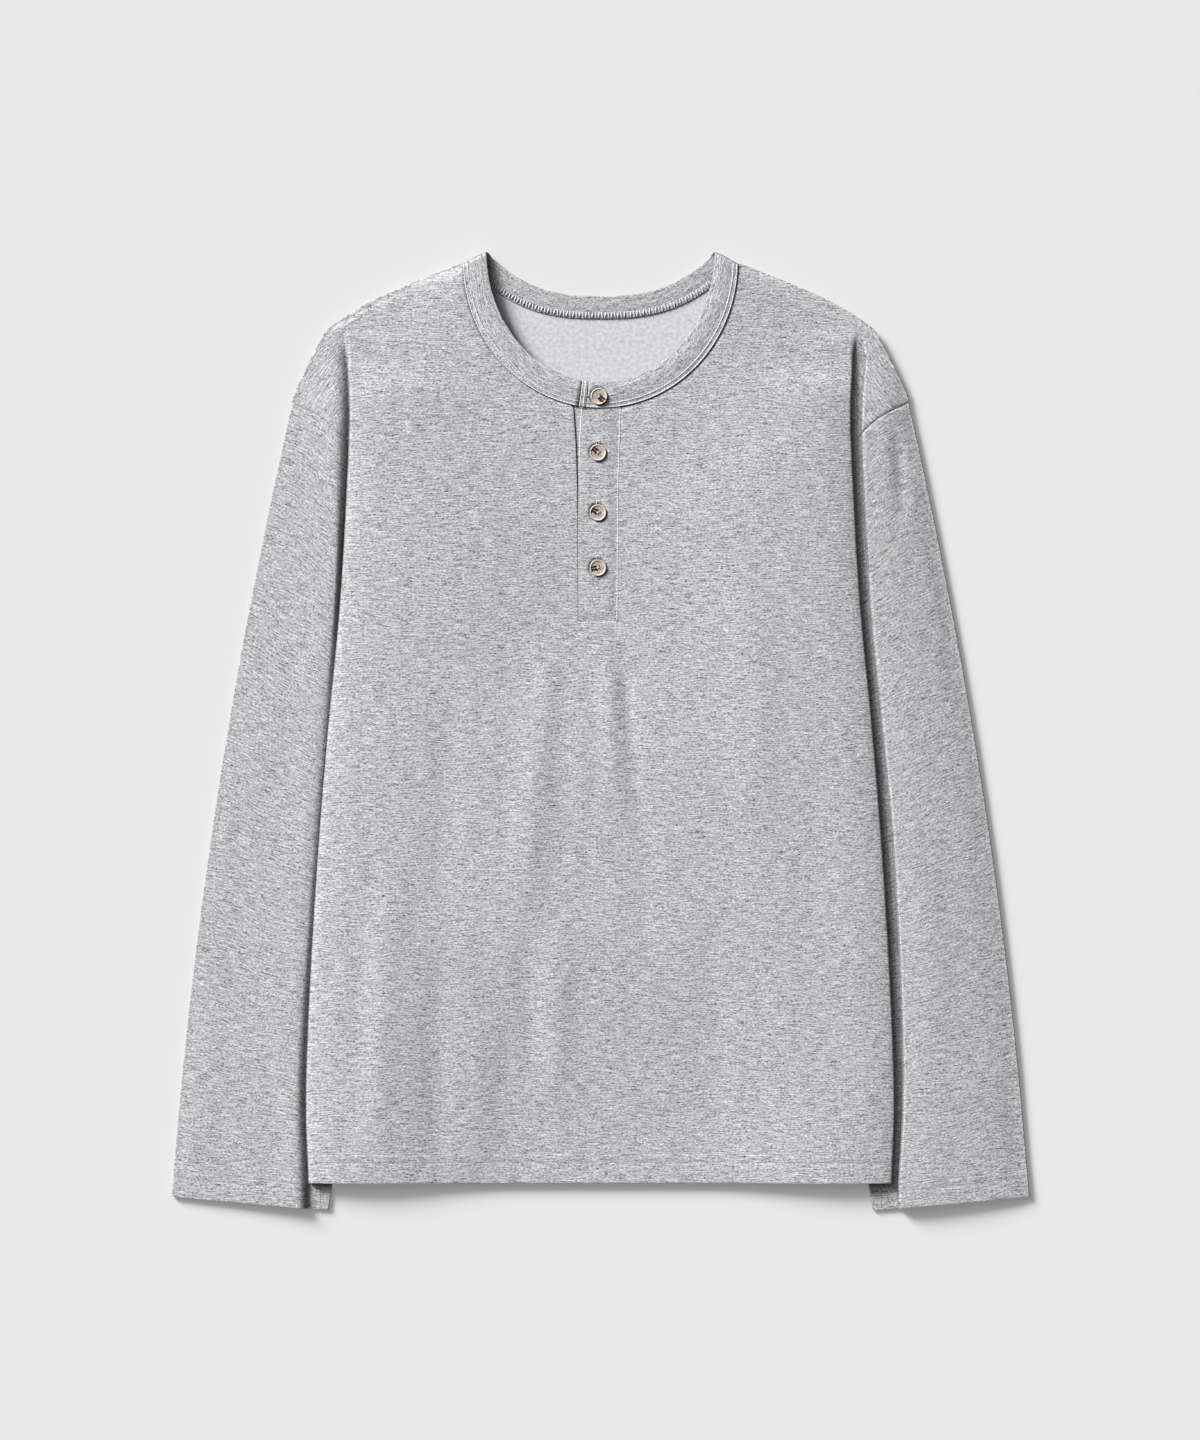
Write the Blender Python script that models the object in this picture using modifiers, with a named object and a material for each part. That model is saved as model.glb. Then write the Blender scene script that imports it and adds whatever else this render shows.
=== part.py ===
"""Long-sleeved henley shirt, laid flat with its front up and its sleeves drawn down beside the body.

Units are metres. X runs across the shirt, Y from the hem to the collar and Z up from the surface that
it lies on. The origin is on that surface, in the middle of the shirt's width and length.

Because the sleeves are drawn down further than they are cut, each side of the body is laid in a fold
that starts at a point on the shoulder and grows towards the hem. Across it lie, from the top down, the
front, the back, the back again, the front again, and then the sleeve or, above the armhole, the shoulder.
Each piece of cloth is a grid moved onto sections across the shirt, and Solidify gives it its wall.
"""

import math

import bmesh
import bpy
from mathutils import Vector

# Cloth
CLOTH = 0.0010  # one layer of heavy jersey
LAYER = 0.0015  # from the middle of one stacked layer to the middle of the next
SEAM_GAP = 0.0003
SHOULDER_RETURN = 0.0010  # the front's edge lies this far back under the shoulder
SHORT_EDGE = 0.3  # a narrow shoulder turns over within this share of its width
LOFT = 0.0044  # from the back wall's middle to the front wall's middle, where the shirt is softly full
CHEST_LOFT = 0.0049
FLOOR_LAYER = CLOTH / 2

# Body
NECK_POINT_Y = 0.3514  # where the neck seam meets the shoulder
NECK_HALF = 0.1031
FRONT_NECK_DROP = 0.1093
BACK_NECK_DROP = 0.0420
BACK_NECK_POWER = 2.65
FIRST_ROW_Y = 0.3494
HEM_Y = -0.3386
HEM_RELAX = 0.0008
HEM_RELAX_LENGTH = 0.030

SHOULDER_EDGE = (  # y, x
    (0.3514, 0.1031),
    (0.3386, 0.1354),
    (0.3236, 0.1699),
    (0.3086, 0.1954),
    (0.3011, 0.2051),
    (0.2861, 0.2141),
    (0.2711, 0.2216),
    (0.2561, 0.2288),
    (0.2471, 0.2321),
)
ARMHOLE_SEAM = (  # y, x, from the shoulder's tip to the underarm
    (0.2471, 0.2321),
    (0.2365, 0.2110),
    (0.2215, 0.1930),
    (0.1930, 0.1540),
    (0.1600, 0.1150),
)
BODY_CREASE = (  # y, x, the body's visible side edge
    (0.3010, 0.1916),
    (0.2410, 0.1888),
    (0.1736, 0.1912),
    (0.0910, 0.1963),
    (0.0010, 0.2050),
    (-0.0890, 0.2123),
    (-0.2240, 0.2200),
    (-0.2840, 0.2214),
    (-0.3386, 0.2194),
)
TIP_Y, TIP_X = ARMHOLE_SEAM[0]
UNDERARM_Y, UNDERARM_X = ARMHOLE_SEAM[-1]
APEX_Y, APEX_X = BODY_CREASE[0]
SIDE_SEAM_HEM_X = 0.1890  # on the layers folded under
FOLD_CLOSED_Y = 0.2790  # the fold lies fully closed from here down
TURN_LENGTH = 0.0045  # of each of its turns where they are still slack
LEAST_ANGLE = 0.02

# The back and front climb onto what lies under them
RISE_WIDTH = 0.060
RISE_MARGIN = 0.0030
LEAST_FLAT = 0.3  # share of the way from the inner edge that stays flat
TURN_STEPS = 4

# Sleeve
SLEEVE_FLARE = 0.2307  # the outer edge leaves by this slope, less its bow times the length squared
SLEEVE_BOW = 0.1313
SLEEVE_TOP_INNER_X = 0.1190
CUFF_OUTER_Y = -0.3484
CUFF_INNER_X, CUFF_INNER_Y = 0.2044, -0.3588
VALLEY = 0.0030  # the sleeve lies low this far out from the body's edge
VALLEY_RISE = 0.0090
HEAD_FADE = 6  # how fast the armhole's curve leaves the sleeve's sections
SLEEVE_ROWS = (0.0, 0.015, 0.04, 0.08, 0.13, 0.20, 0.28, 0.37, 0.47, 0.57, 0.67, 0.77, 0.87, 0.95, 1.0)

# Neckband
BAND = 0.0020  # two layers of cloth
BAND_GAP = 0.0005
BAND_FREE_HALF = 0.0853
BAND_FREE_TOP_Y = 0.3600
BAND_FREE_DROP = 0.0984
BAND_CORNER = Vector((0.0851, 0.3589))  # where the free edge turns over at the shoulder
BAND_BACK_DROP = 0.0320
BAND_RISE = 0.0003
BAND_DROOP = 0.0008  # of its free edge, from DROOP_ANGLE past the shoulder on
DROOP_ANGLE = 0.4
SHOULDER_ANGLE = 0.032  # of the last line across the front band, before it turns over the shoulder
BAND_DIP = 0.0024  # the button end passes this far below the buttonhole end
BAND_DIP_FROM, BAND_DIP_TO = 0.0240, 0.0170
OVER_STOPS = (-0.0161, -0.0080, 0.0, 0.0080, 0.0160, 0.0240)  # across, from the buttonhole end
UNDER_STOPS = (-0.0110, 0.0, 0.0110, 0.0170, 0.0187, 0.0205, 0.0223, 0.0240)  # from the button end
FRONT_RULINGS = 11
BACK_SHARES = (0.955, 0.88, 0.79, 0.68, 0.54, 0.38, 0.20)  # of the back neck's half width
ACROSS = (0.0, 0.33, 0.67, 1.0)

# Placket
PLACKET = 0.0012
PLACKET_BOTTOM_Y = 0.0830
SLOT_LEFT = ((0.2446, -0.0206), (0.2140, -0.0186), (0.1850, -0.0176), (0.0826, -0.0169))  # y, x
SLOT_RIGHT = ((0.2446, 0.0153), (0.1850, 0.0135), (0.0826, 0.0128))
PLACKET_EDGE = ((0.2440, -0.0143), (0.2150, -0.0159), (0.1750, -0.0164), (0.0830, -0.0164))
SLOT_BOTTOM_Y = SLOT_LEFT[-1][0]
PLACKET_GAP = 0.0004
OVER_PLACKET_Z = 0.0059
UNDER_PLACKET_Z = 0.0045
UNDER_PLACKET_RIGHT_X = 0.0100

# Buttons
BUTTON_RADIUS = 0.0065
BUTTON_THICKNESS = 0.0024
BUTTON_ROUND = 0.0008
BUTTON_RIM = 0.0018
BUTTON_DISH = 0.0006
BUTTON_SEGMENTS = 18
HOLE_RADIUS = 0.0008
HOLE_OFFSET = 0.0013
BUTTONS = (  # x, y, z of what it lies on
    (-0.0011, 0.2509, 0.0067),
    (-0.0019, 0.2089, OVER_PLACKET_Z + PLACKET / 2),
    (-0.0019, 0.1639, OVER_PLACKET_Z + PLACKET / 2),
    (-0.0019, 0.1226, OVER_PLACKET_Z + PLACKET / 2),
)

# Heights of the sections across the body
CLOSING_ROWS = 8
FOLD_ROWS = tuple(APEX_Y + (FOLD_CLOSED_Y - APEX_Y) * k / CLOSING_ROWS for k in range(CLOSING_ROWS + 1))
CAP_ROWS = (0.2690, 0.2600, 0.2525, TIP_Y)
ARMHOLE_ROWS = (TIP_Y, SLOT_LEFT[0][0], 0.2380, 0.2290, 0.2180, 0.2040, 0.1880, 0.1720, UNDERARM_Y)
SIDE_ROWS = (
    UNDERARM_Y, 0.1200, SLOT_BOTTOM_Y, 0.0300, -0.0300, -0.0950, -0.1600, -0.2250, -0.2800,
    HEM_Y + HEM_RELAX_LENGTH, HEM_Y,
)

GREY_MARL = (0.50, 0.50, 0.51, 1.0)
BUTTON_BEIGE = (0.62, 0.52, 0.44, 1.0)


# ---- Curves and heights ----------------------------------------------------------------------------


def smooth(t):
    """0 before 0, 1 after 1, and an S between them."""
    t = max(0.0, min(1.0, t))
    return t * t * (3 - 2 * t)


def mix(a, b, t):
    return a + (b - a) * t


def along(table, y):
    """x at height y on the smooth curve through a table's (y, x) rows."""
    rows = sorted(table)
    ys = [row[0] for row in rows]
    xs = [row[1] for row in rows]
    if y <= ys[0]:
        return xs[0]
    if y >= ys[-1]:
        return xs[-1]
    i = max(k for k in range(len(ys) - 1) if ys[k] <= y)
    slopes = [(xs[k + 1] - xs[k]) / (ys[k + 1] - ys[k]) for k in range(len(ys) - 1)]
    start = (slopes[max(i - 1, 0)] + slopes[i]) / 2
    end = (slopes[i] + slopes[min(i + 1, len(slopes) - 1)]) / 2
    step = ys[i + 1] - ys[i]
    t = (y - ys[i]) / step
    return (
        (2 * t**3 - 3 * t**2 + 1) * xs[i]
        + (t**3 - 2 * t**2 + t) * step * start
        + (3 * t**2 - 2 * t**3) * xs[i + 1]
        + (t**3 - t**2) * step * end
    )


def front_neck_x(y):
    """Half the width of the front neck seam at height y, and 0 below it."""
    drop = (NECK_POINT_Y - y) / FRONT_NECK_DROP
    return NECK_HALF * math.sqrt(max(0.0, 1 - drop * drop))


def front_inner_x(y, slot):
    """The front's inner edge: the neck seam and then the placket's slot."""
    return max(front_neck_x(y), abs(along(slot, y)))


def back_neck_y(share):
    """Height of the back neck seam at this share of its half width."""
    return NECK_POINT_Y - BACK_NECK_DROP + BACK_NECK_DROP * share**BACK_NECK_POWER


def back_neck_x(y):
    """Half the width of the back neck seam at height y, and 0 below it."""
    up = (y - NECK_POINT_Y + BACK_NECK_DROP) / BACK_NECK_DROP
    return NECK_HALF * max(0.0, up) ** (1 / BACK_NECK_POWER)


class Fold:
    """The side fold at height y: how far the two body layers turn, and its radii and lengths."""

    def __init__(self, y):
        self.y = y
        self.closed = smooth((APEX_Y - y) / (APEX_Y - FOLD_CLOSED_Y))
        self.angle = max(LEAST_ANGLE, math.pi * self.closed)
        self.half_gap = mix(LOFT, LAYER, smooth(2 * self.closed)) / 2  # from the pair's middle to a wall's
        self.radius = max(self.half_gap + LAYER / 2, TURN_LENGTH / self.angle)
        self.crease = along(BODY_CREASE, y)
        reach = CLOTH / 2 + self.half_gap + self.radius
        self.turn_x = self.crease - reach * math.sin(min(self.angle, math.pi / 2))
        self.length = max(0.0, self.turn_x - self.inner_x())
        self.drop = 2 * self.radius * (1 - math.cos(self.angle)) + self.length * math.sin(self.angle)
        self.high = FLOOR_LAYER + self.half_gap + self.drop
        self.foot_x = self.turn_x + 2 * self.radius * math.sin(self.angle) + self.length * math.cos(self.angle)
        self.valley = max(self.crease, self.foot_x) + VALLEY

    def inner_x(self):
        """Where the folded layers turn back: on a line to the underarm, and then on the side seam."""
        if self.y < UNDERARM_Y:
            return mix(UNDERARM_X, SIDE_SEAM_HEM_X, (UNDERARM_Y - self.y) / (UNDERARM_Y - HEM_Y))
        return mix(APEX_X, UNDERARM_X, (FOLD_CLOSED_Y - self.y) / (FOLD_CLOSED_Y - UNDERARM_Y))

    def rise_to(self):
        """Where the back has climbed fully, just clear of the turn under it."""
        reach = self.length + LAYER + LAYER / 2 + CLOTH / 2
        return self.turn_x - RISE_MARGIN - self.closed * reach

    def height(self, x, side):
        """Middle of the upper front layer, side +1, or of the upper back layer, side -1."""
        share = smooth((x - self.rise_to()) / RISE_WIDTH + 1)
        if side < 0:
            return mix(FLOOR_LAYER, self.high - self.half_gap, share)
        slack = HEM_RELAX * smooth((HEM_Y + HEM_RELAX_LENGTH - self.y) / HEM_RELAX_LENGTH)
        return mix(FLOOR_LAYER + CHEST_LOFT - slack, self.high + self.half_gap, share)

    def path(self, side):
        """(x, z) points of the fold, side +1 for the front layer and -1 for the back layer."""
        points = []
        centre = Vector((self.turn_x, self.high - self.radius))
        for k in range(TURN_STEPS + 1):
            a = self.angle * k / TURN_STEPS
            points.append(centre + (self.radius + side * self.half_gap) * Vector((math.sin(a), math.cos(a))))
        centre += 2 * self.radius * Vector((math.sin(self.angle), math.cos(self.angle)))
        centre += self.length * Vector((math.cos(self.angle), -math.sin(self.angle)))
        for k in range(TURN_STEPS + 1):
            a = self.angle * (1 - k / TURN_STEPS)
            points.append(centre - (self.radius - side * self.half_gap) * Vector((math.sin(a), math.cos(a))))
        return points

    def low_height(self, x):
        """Middle of the upper wall of the shoulder and the sleeve, beyond and under the body's edge."""
        near = FLOOR_LAYER + 2 * self.half_gap
        return mix(near, FLOOR_LAYER + LOFT, smooth((x - self.valley) / VALLEY_RISE))


# ---- Sections of the body --------------------------------------------------------------------------

MAIN_SHARES = {1: (0.0, 0.35, 0.7), -1: (0.0, 0.6)}  # from the inner edge to where the layer climbs
RISE_SHARES = (0.0, 0.3, 0.65, 1.0)
COARSE_COLUMNS = 6


def upper_points(fold, inner, side):
    """(x, z) points from the inner edge of the body to the fold and down it."""
    top = fold.rise_to()
    foot = max(top - RISE_WIDTH, mix(inner, top, LEAST_FLAT))
    xs = [mix(inner, foot, share) for share in MAIN_SHARES[side]]
    xs += [mix(foot, top, share) for share in RISE_SHARES]
    return [(x, fold.height(x, side)) for x in xs] + [tuple(p) for p in fold.path(side)]


def edge_radius(y):
    """How far in the softly full shoulder edge starts to turn under."""
    return min(LOFT / 2, SHORT_EDGE * (along(SHOULDER_EDGE, y) - front_neck_x(y)))


def flat_edge(y, side):
    """x where the low layers stop lying flat, at the shoulder's edge or the armhole seam."""
    y_edge = max(y, TIP_Y)
    edge = along(SHOULDER_EDGE, y_edge) - edge_radius(y_edge) - CLOTH / 2
    if side < 0:
        edge -= SHOULDER_RETURN + SEAM_GAP
    return min(edge, along(ARMHOLE_SEAM, y)) if y < TIP_Y else edge


def low_points(fold, side, edge):
    """(x, z) points of the shoulder from the fold's lower turn out to this edge."""
    if side < 0:
        return [(mix(fold.foot_x, edge, share), FLOOR_LAYER) for share in (0.5, 1.0)]
    rise = min(VALLEY_RISE / 2, (edge - fold.valley) / 3)
    stops = [mix(fold.foot_x, fold.valley, 0.5), *(fold.valley + rise * k for k in range(3)), edge]
    return [(min(x, edge), fold.low_height(min(x, edge))) for x in stops]


def full_row(y, inner, side):
    """(x, z) points across the body above the underarm. Above the fold they gather in a few columns."""
    fold = Fold(min(y, APEX_Y))
    edge = flat_edge(y, side)
    if y <= APEX_Y:
        return upper_points(fold, inner, side) + low_points(fold, side, edge)
    first_inner = front_neck_x(APEX_Y) if side > 0 else 0.0
    first_edge = flat_edge(APEX_Y, side)
    row = upper_points(fold, first_inner, side) + low_points(fold, side, first_edge)
    columns = [round(COARSE_COLUMNS * (x - first_inner) / (first_edge - first_inner)) for x, z in row]
    return [
        (mix(inner, edge, column / COARSE_COLUMNS), mix(row[0][1], row[-1][1], column / COARSE_COLUMNS))
        for column in columns
    ]


def shoulder_row(y, inner, side):
    """Points across the body down to the shoulder's tip, the front's with its edge turned under."""
    row = full_row(y, inner, side)
    if side > 0:
        edge, top = row[-1]
        middle = (top + FLOOR_LAYER) / 2
        for k in range(1, TURN_STEPS + 1):
            a = math.pi * k / TURN_STEPS
            row.append((edge + edge_radius(y) * math.sin(a), middle + (top - middle) * math.cos(a)))
        row.append((edge - SHOULDER_RETURN, FLOOR_LAYER))
    return [(x, y, z) for x, z in row]


def armhole_row(y, inner, side):
    """Points across the body from the shoulder's tip down to the underarm."""
    return [(x, y, z) for x, z in full_row(y, inner, side)]


def side_row(y, inner, side):
    """Points across the body below the underarm, where its folded layers end at the side seam."""
    fold = Fold(y)
    row = upper_points(fold, inner, side)[: -TURN_STEPS]
    return [(x, y, z) for x, z in row]


# ---- Meshes ----------------------------------------------------------------------------------------


def sheet(mesh, rows, sign=1):
    """A grid moved onto rows of (x, y, z) points, mirrored across the shirt if sign is -1."""
    made = bmesh.ops.create_grid(mesh, x_segments=len(rows[0]) - 1, y_segments=len(rows) - 1, size=1.0)
    points = [p for row in rows for p in row]
    for vert, (x, y, z) in zip(made["verts"], points):
        vert.co = (sign * x, y, z)


def material(name, colour, roughness):
    made = bpy.data.materials.new(name)
    made.use_nodes = True
    shader = made.node_tree.nodes["Principled BSDF"]
    shader.inputs["Base Color"].default_value = colour
    shader.inputs["Roughness"].default_value = roughness
    shader.inputs["Metallic"].default_value = 0.0
    return made


def cloth_object(name, mesh, wall):
    """The finished piece: the mesh's sheets joined, with a wall of this thickness about them."""
    bmesh.ops.remove_doubles(mesh, verts=mesh.verts, dist=0.00002)
    bmesh.ops.recalc_face_normals(mesh, faces=mesh.faces)
    data = bpy.data.meshes.new(name)
    mesh.to_mesh(data)
    mesh.free()
    data.shade_smooth()
    made = bpy.data.objects.new(name, data)
    shirt.objects.link(made)
    thick = made.modifiers.new("wall", "SOLIDIFY")
    thick.thickness = wall
    thick.offset = 0.0
    thick.use_even_offset = True
    thick.use_quality_normals = True
    made.data.materials.append(material(name, GREY_MARL, 0.9))
    return made


# ---- Body and sleeves ------------------------------------------------------------------------------


def make_front():
    rows = [FIRST_ROW_Y, *(back_neck_y(share) for share in (*BACK_SHARES[:5], 0.0)), *FOLD_ROWS, *CAP_ROWS]
    mesh = bmesh.new()
    for sign, slot in ((-1, SLOT_LEFT), (1, SLOT_RIGHT)):
        sheet(mesh, [shoulder_row(y, front_inner_x(y, slot), 1) for y in rows], sign)
        sheet(mesh, [armhole_row(y, front_inner_x(y, slot), 1) for y in ARMHOLE_ROWS], sign)
        sheet(mesh, [side_row(y, front_inner_x(y, slot), 1) for y in SIDE_ROWS], sign)
    below = [y for y in SIDE_ROWS if y <= SLOT_BOTTOM_Y]
    left, right = SLOT_LEFT[-1][1], SLOT_RIGHT[-1][1]
    sheet(mesh, [[(mix(left, right, t), y, Fold(y).height(0.0, 1)) for t in (0.0, 0.5, 1.0)] for y in below])
    return cloth_object("front_panel", mesh, CLOTH)


def make_back():
    neck_rows = [back_neck_y(share) for share in BACK_SHARES]
    rows = [FIRST_ROW_Y, *neck_rows, back_neck_y(0.0), *FOLD_ROWS, *CAP_ROWS]
    mesh = bmesh.new()
    for sign in (-1, 1):
        sheet(mesh, [shoulder_row(y, back_neck_x(y), -1) for y in rows], sign)
        sheet(mesh, [armhole_row(y, 0.0, -1) for y in ARMHOLE_ROWS], sign)
        sheet(mesh, [side_row(y, 0.0, -1) for y in SIDE_ROWS], sign)
    return cloth_object("back_panel", mesh, CLOTH)


def armhole_y(x):
    """Height of the armhole seam at x."""
    low, high = UNDERARM_Y, TIP_Y
    for _ in range(40):
        middle = (low + high) / 2
        if along(ARMHOLE_SEAM, middle) < x:
            low = middle
        else:
            high = middle
    return (low + high) / 2


def sleeve_point(t, u):
    """A place on the sleeve in plan, t from the shoulder to the cuff and u from its outer to its inner edge."""
    down = t * (TIP_Y - CUFF_OUTER_Y)
    outer = Vector((TIP_X + SLEEVE_FLARE * down - SLEEVE_BOW * down * down, TIP_Y - down))
    head = Vector((SLEEVE_TOP_INNER_X, armhole_y(SLEEVE_TOP_INNER_X)))
    place = mix(outer, mix(head, Vector((CUFF_INNER_X, CUFF_INNER_Y)), t), u)
    seam_x = mix(TIP_X, head.x, u)
    bow = armhole_y(seam_x) - mix(TIP_Y, head.y, u)
    place.y += bow * (1 - t) ** HEAD_FADE - 2 * SEAM_GAP
    return place


def crossing(t, out):
    """The share u at which the sleeve's section t lies this far out from the body's edge."""
    low, high = 0.0, 1.0
    for _ in range(30):
        middle = (low + high) / 2
        place = sleeve_point(t, middle)
        if place.x - along(BODY_CREASE, place.y) > out:
            low = middle
        else:
            high = middle
    return (low + high) / 2


def sleeve_ring(t):
    """(x, y, z) points round the flattened sleeve, starting on top beside its outer edge."""
    width = (sleeve_point(t, 0.0) - sleeve_point(t, 1.0)).length
    outer_u = (LOFT / 2 + CLOTH / 2) / width
    inner_u = 1 - (LAYER / 2 + CLOTH / 2) / width
    stops = [crossing(t, out) for out in (VALLEY + VALLEY_RISE, VALLEY + VALLEY_RISE / 2, VALLEY, 0.0)]
    shares = [outer_u, mix(outer_u, stops[0], 0.5), *stops, mix(stops[-1], inner_u, 0.5), inner_u]
    places = [sleeve_point(t, u) for u in shares]
    top = [(p.x, p.y, Fold(min(p.y, FOLD_CLOSED_Y)).low_height(p.x)) for p in places]
    ring = top + edge_round(t, inner_u, top[-1][2], 1 / width)
    ring += [(p.x, p.y, FLOOR_LAYER) for p in reversed(places)]
    return ring + edge_round(t, outer_u, top[0][2], -1 / width)[::-1]


def edge_round(t, u, top, out):
    """Points round a fold of the sleeve, from its top wall down to its lower one."""
    radius = (top - FLOOR_LAYER) / 2
    points = []
    for k in range(1, TURN_STEPS):
        a = math.pi * k / TURN_STEPS
        place = sleeve_point(t, u + out * radius * math.sin(a))
        points.append((place.x, place.y, FLOOR_LAYER + radius + radius * math.cos(a)))
    return points


def make_sleeve(name, sign):
    mesh = bmesh.new()
    rings = [sleeve_ring(t) for t in SLEEVE_ROWS]
    sheet(mesh, [ring + ring[:1] for ring in rings], sign)
    return cloth_object(name, mesh, CLOTH)


# ---- Neckband --------------------------------------------------------------------------------------


def band_ruling(seam, free, heights):
    """(x, y, z) points across the band, from its sewn edge to its free edge."""
    places = [mix(seam, free, share) for share in ACROSS]
    return [(p.x, p.y, mix(*heights, share)) for p, share in zip(places, ACROSS)]


def front_ruling(a, dip=0.0):
    """A line across the front band, a from 0 at the shoulder to a right angle at the centre and beyond."""
    c, s = math.cos(a), math.sin(a)
    seam = Vector(((NECK_HALF - BAND_GAP) * c, NECK_POINT_Y - (FRONT_NECK_DROP - BAND_GAP) * s))
    free = Vector((BAND_FREE_HALF * c, BAND_FREE_TOP_Y - BAND_FREE_DROP * s))
    top = FLOOR_LAYER + CHEST_LOFT + BAND_RISE - dip
    droop = BAND_DROOP * smooth(a / DROOP_ANGLE)
    return band_ruling(seam, free, (top, top - droop))


def back_ruling(share):
    """A line across the back band, share from 0 at the centre to 1 at the shoulder."""
    seam = Vector((NECK_HALF * share, back_neck_y(share) + BAND_GAP * math.hypot(1, share)))
    free_y = BAND_CORNER.y - BAND_BACK_DROP + BAND_BACK_DROP * share**BACK_NECK_POWER
    return band_ruling(seam, Vector((BAND_CORNER.x * share, free_y)), (BAND / 2, BAND / 2))


def turn_rulings(front, back):
    """Lines across the band where it turns over the shoulder, between these two."""
    line = BAND_CORNER - Vector((NECK_HALF, NECK_POINT_Y))
    outwards = Vector((line.y, -line.x)).normalized()
    radius = (front[0][2] - BAND / 2) / 2
    rulings = []
    for k in range(1, TURN_STEPS):
        a = math.pi * k / TURN_STEPS
        share = (1 - math.cos(a)) / 2
        shift = Vector((outwards.x, outwards.y, 0.0)) * radius * math.sin(a)
        rulings.append([tuple(mix(Vector(f), Vector(b), share) + shift) for f, b in zip(front, back)])
    return rulings


def half_band(stops, dipping):
    """Rulings of half the neckband, from its end at the placket to the centre back."""
    reach = NECK_HALF - BAND_GAP
    rulings = []
    for x in stops:
        dip = BAND_DIP * smooth((BAND_DIP_FROM - x) / (BAND_DIP_FROM - BAND_DIP_TO)) if dipping else 0.0
        rulings.append(front_ruling(math.acos(x / reach), dip))
    first = math.acos(stops[-1] / reach)
    shares = [k / FRONT_RULINGS for k in range(1, FRONT_RULINGS + 1)]
    rulings += [front_ruling(mix(first, SHOULDER_ANGLE, share)) for share in shares]
    back = [back_ruling(share) for share in BACK_SHARES]
    return rulings + turn_rulings(rulings[-1], back[0]) + back


def make_neckband():
    over = half_band(OVER_STOPS, False)
    under = half_band(UNDER_STOPS, True)
    mirrored = [[(-x, y, z) for x, y, z in row] for row in reversed(under)]
    mesh = bmesh.new()
    sheet(mesh, over + [back_ruling(0.0)] + mirrored)
    return cloth_object("neckband", mesh, BAND)


# ---- Placket and buttons ---------------------------------------------------------------------------


def band_seam_y(x):
    """Height of the neckband's sewn edge near the centre front."""
    return front_ruling(math.acos(x / (NECK_HALF - BAND_GAP)))[0][1]


def flat_strip(name, left, right, z, thickness):
    """A strip of cloth between two edges given as tables of y and x, its top edge along the neck seam."""
    top_left, top_right = left[0][1], right[0][1]
    top = [mix(top_left, top_right, t) for t in (0.0, 0.25, 0.5, 0.75, 1.0)]
    outline = [(x, band_seam_y(x) - PLACKET_GAP) for x in top]
    outline += [(x, y) for y, x in right[1:]]
    outline += [(x, y) for y, x in reversed(left[1:])]
    curve = bpy.data.curves.new(name, "CURVE")
    curve.dimensions = "2D"
    curve.fill_mode = "BOTH"
    curve.extrude = thickness / 2
    spline = curve.splines.new("POLY")
    spline.points.add(len(outline) - 1)
    for point, (x, y) in zip(spline.points, outline):
        point.co = (x, y, 0.0, 1.0)
    spline.use_cyclic_u = True
    made = bpy.data.objects.new(name, curve)
    made.location.z = z
    shirt.objects.link(made)
    made.data.materials.append(material(name, GREY_MARL, 0.9))


def make_plackets():
    right = [(max(y, PLACKET_BOTTOM_Y), x - PLACKET_GAP) for y, x in SLOT_RIGHT]
    flat_strip("placket_over", PLACKET_EDGE, right, OVER_PLACKET_Z, PLACKET)
    left = [(max(y, PLACKET_BOTTOM_Y), x + PLACKET_GAP) for y, x in SLOT_LEFT]
    right = [(SLOT_LEFT[0][0], UNDER_PLACKET_RIGHT_X), (PLACKET_BOTTOM_Y, UNDER_PLACKET_RIGHT_X)]
    flat_strip("placket_under", left, right, UNDER_PLACKET_Z, CLOTH)


def button_profile():
    """(radius, height) points of half a button, from the middle of its top round to that of its underside."""
    rim = BUTTON_RADIUS - BUTTON_RIM
    waist = BUTTON_RADIUS - BUTTON_ROUND
    top = BUTTON_THICKNESS
    points = [(0.0, top - BUTTON_DISH), (rim - BUTTON_DISH, top - BUTTON_DISH), (rim, top)]
    for k in range(4):
        a = math.pi / 2 - math.pi * k / 3
        points.append((waist + BUTTON_ROUND * math.cos(a), top / 2 + top / 2 * math.sin(a)))
    return points + [(0.0, 0.0)]


def make_button(name, place):
    profile = button_profile()
    data = bpy.data.meshes.new(name)
    data.from_pydata([(r, 0.0, z) for r, z in profile], [(k, k + 1) for k in range(len(profile) - 1)], [])
    made = bpy.data.objects.new(name, data)
    shirt.objects.link(made)
    turn = made.modifiers.new("turn", "SCREW")
    turn.steps = turn.render_steps = BUTTON_SEGMENTS
    turn.use_merge_vertices = True
    turn.merge_threshold = 0.00005
    made.location = (place[0], place[1], place[2] + SEAM_GAP)
    for k in range(4):
        a = math.pi / 4 + k * math.pi / 2
        x = place[0] + HOLE_OFFSET * math.cos(a)
        y = place[1] + HOLE_OFFSET * math.sin(a)
        cut_hole(made, f"{name}_hole_{k + 1}", (x, y, made.location.z + BUTTON_THICKNESS / 2))
    data.materials.append(material(name, BUTTON_BEIGE, 0.3))


def cut_hole(button, name, place):
    bpy.ops.mesh.primitive_cylinder_add(vertices=8, radius=HOLE_RADIUS, depth=2 * BUTTON_THICKNESS, location=place)
    cutter = bpy.context.object
    cutter.name = name
    for owner in list(cutter.users_collection):
        owner.objects.unlink(cutter)
    cutters.objects.link(cutter)
    cutter.hide_render = True
    cutter.display_type = "WIRE"
    hole = button.modifiers.new(name, "BOOLEAN")
    hole.operation = "DIFFERENCE"
    hole.object = cutter


# ---- The shirt -------------------------------------------------------------------------------------

for old in list(bpy.data.objects):
    bpy.data.objects.remove(old)

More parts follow.
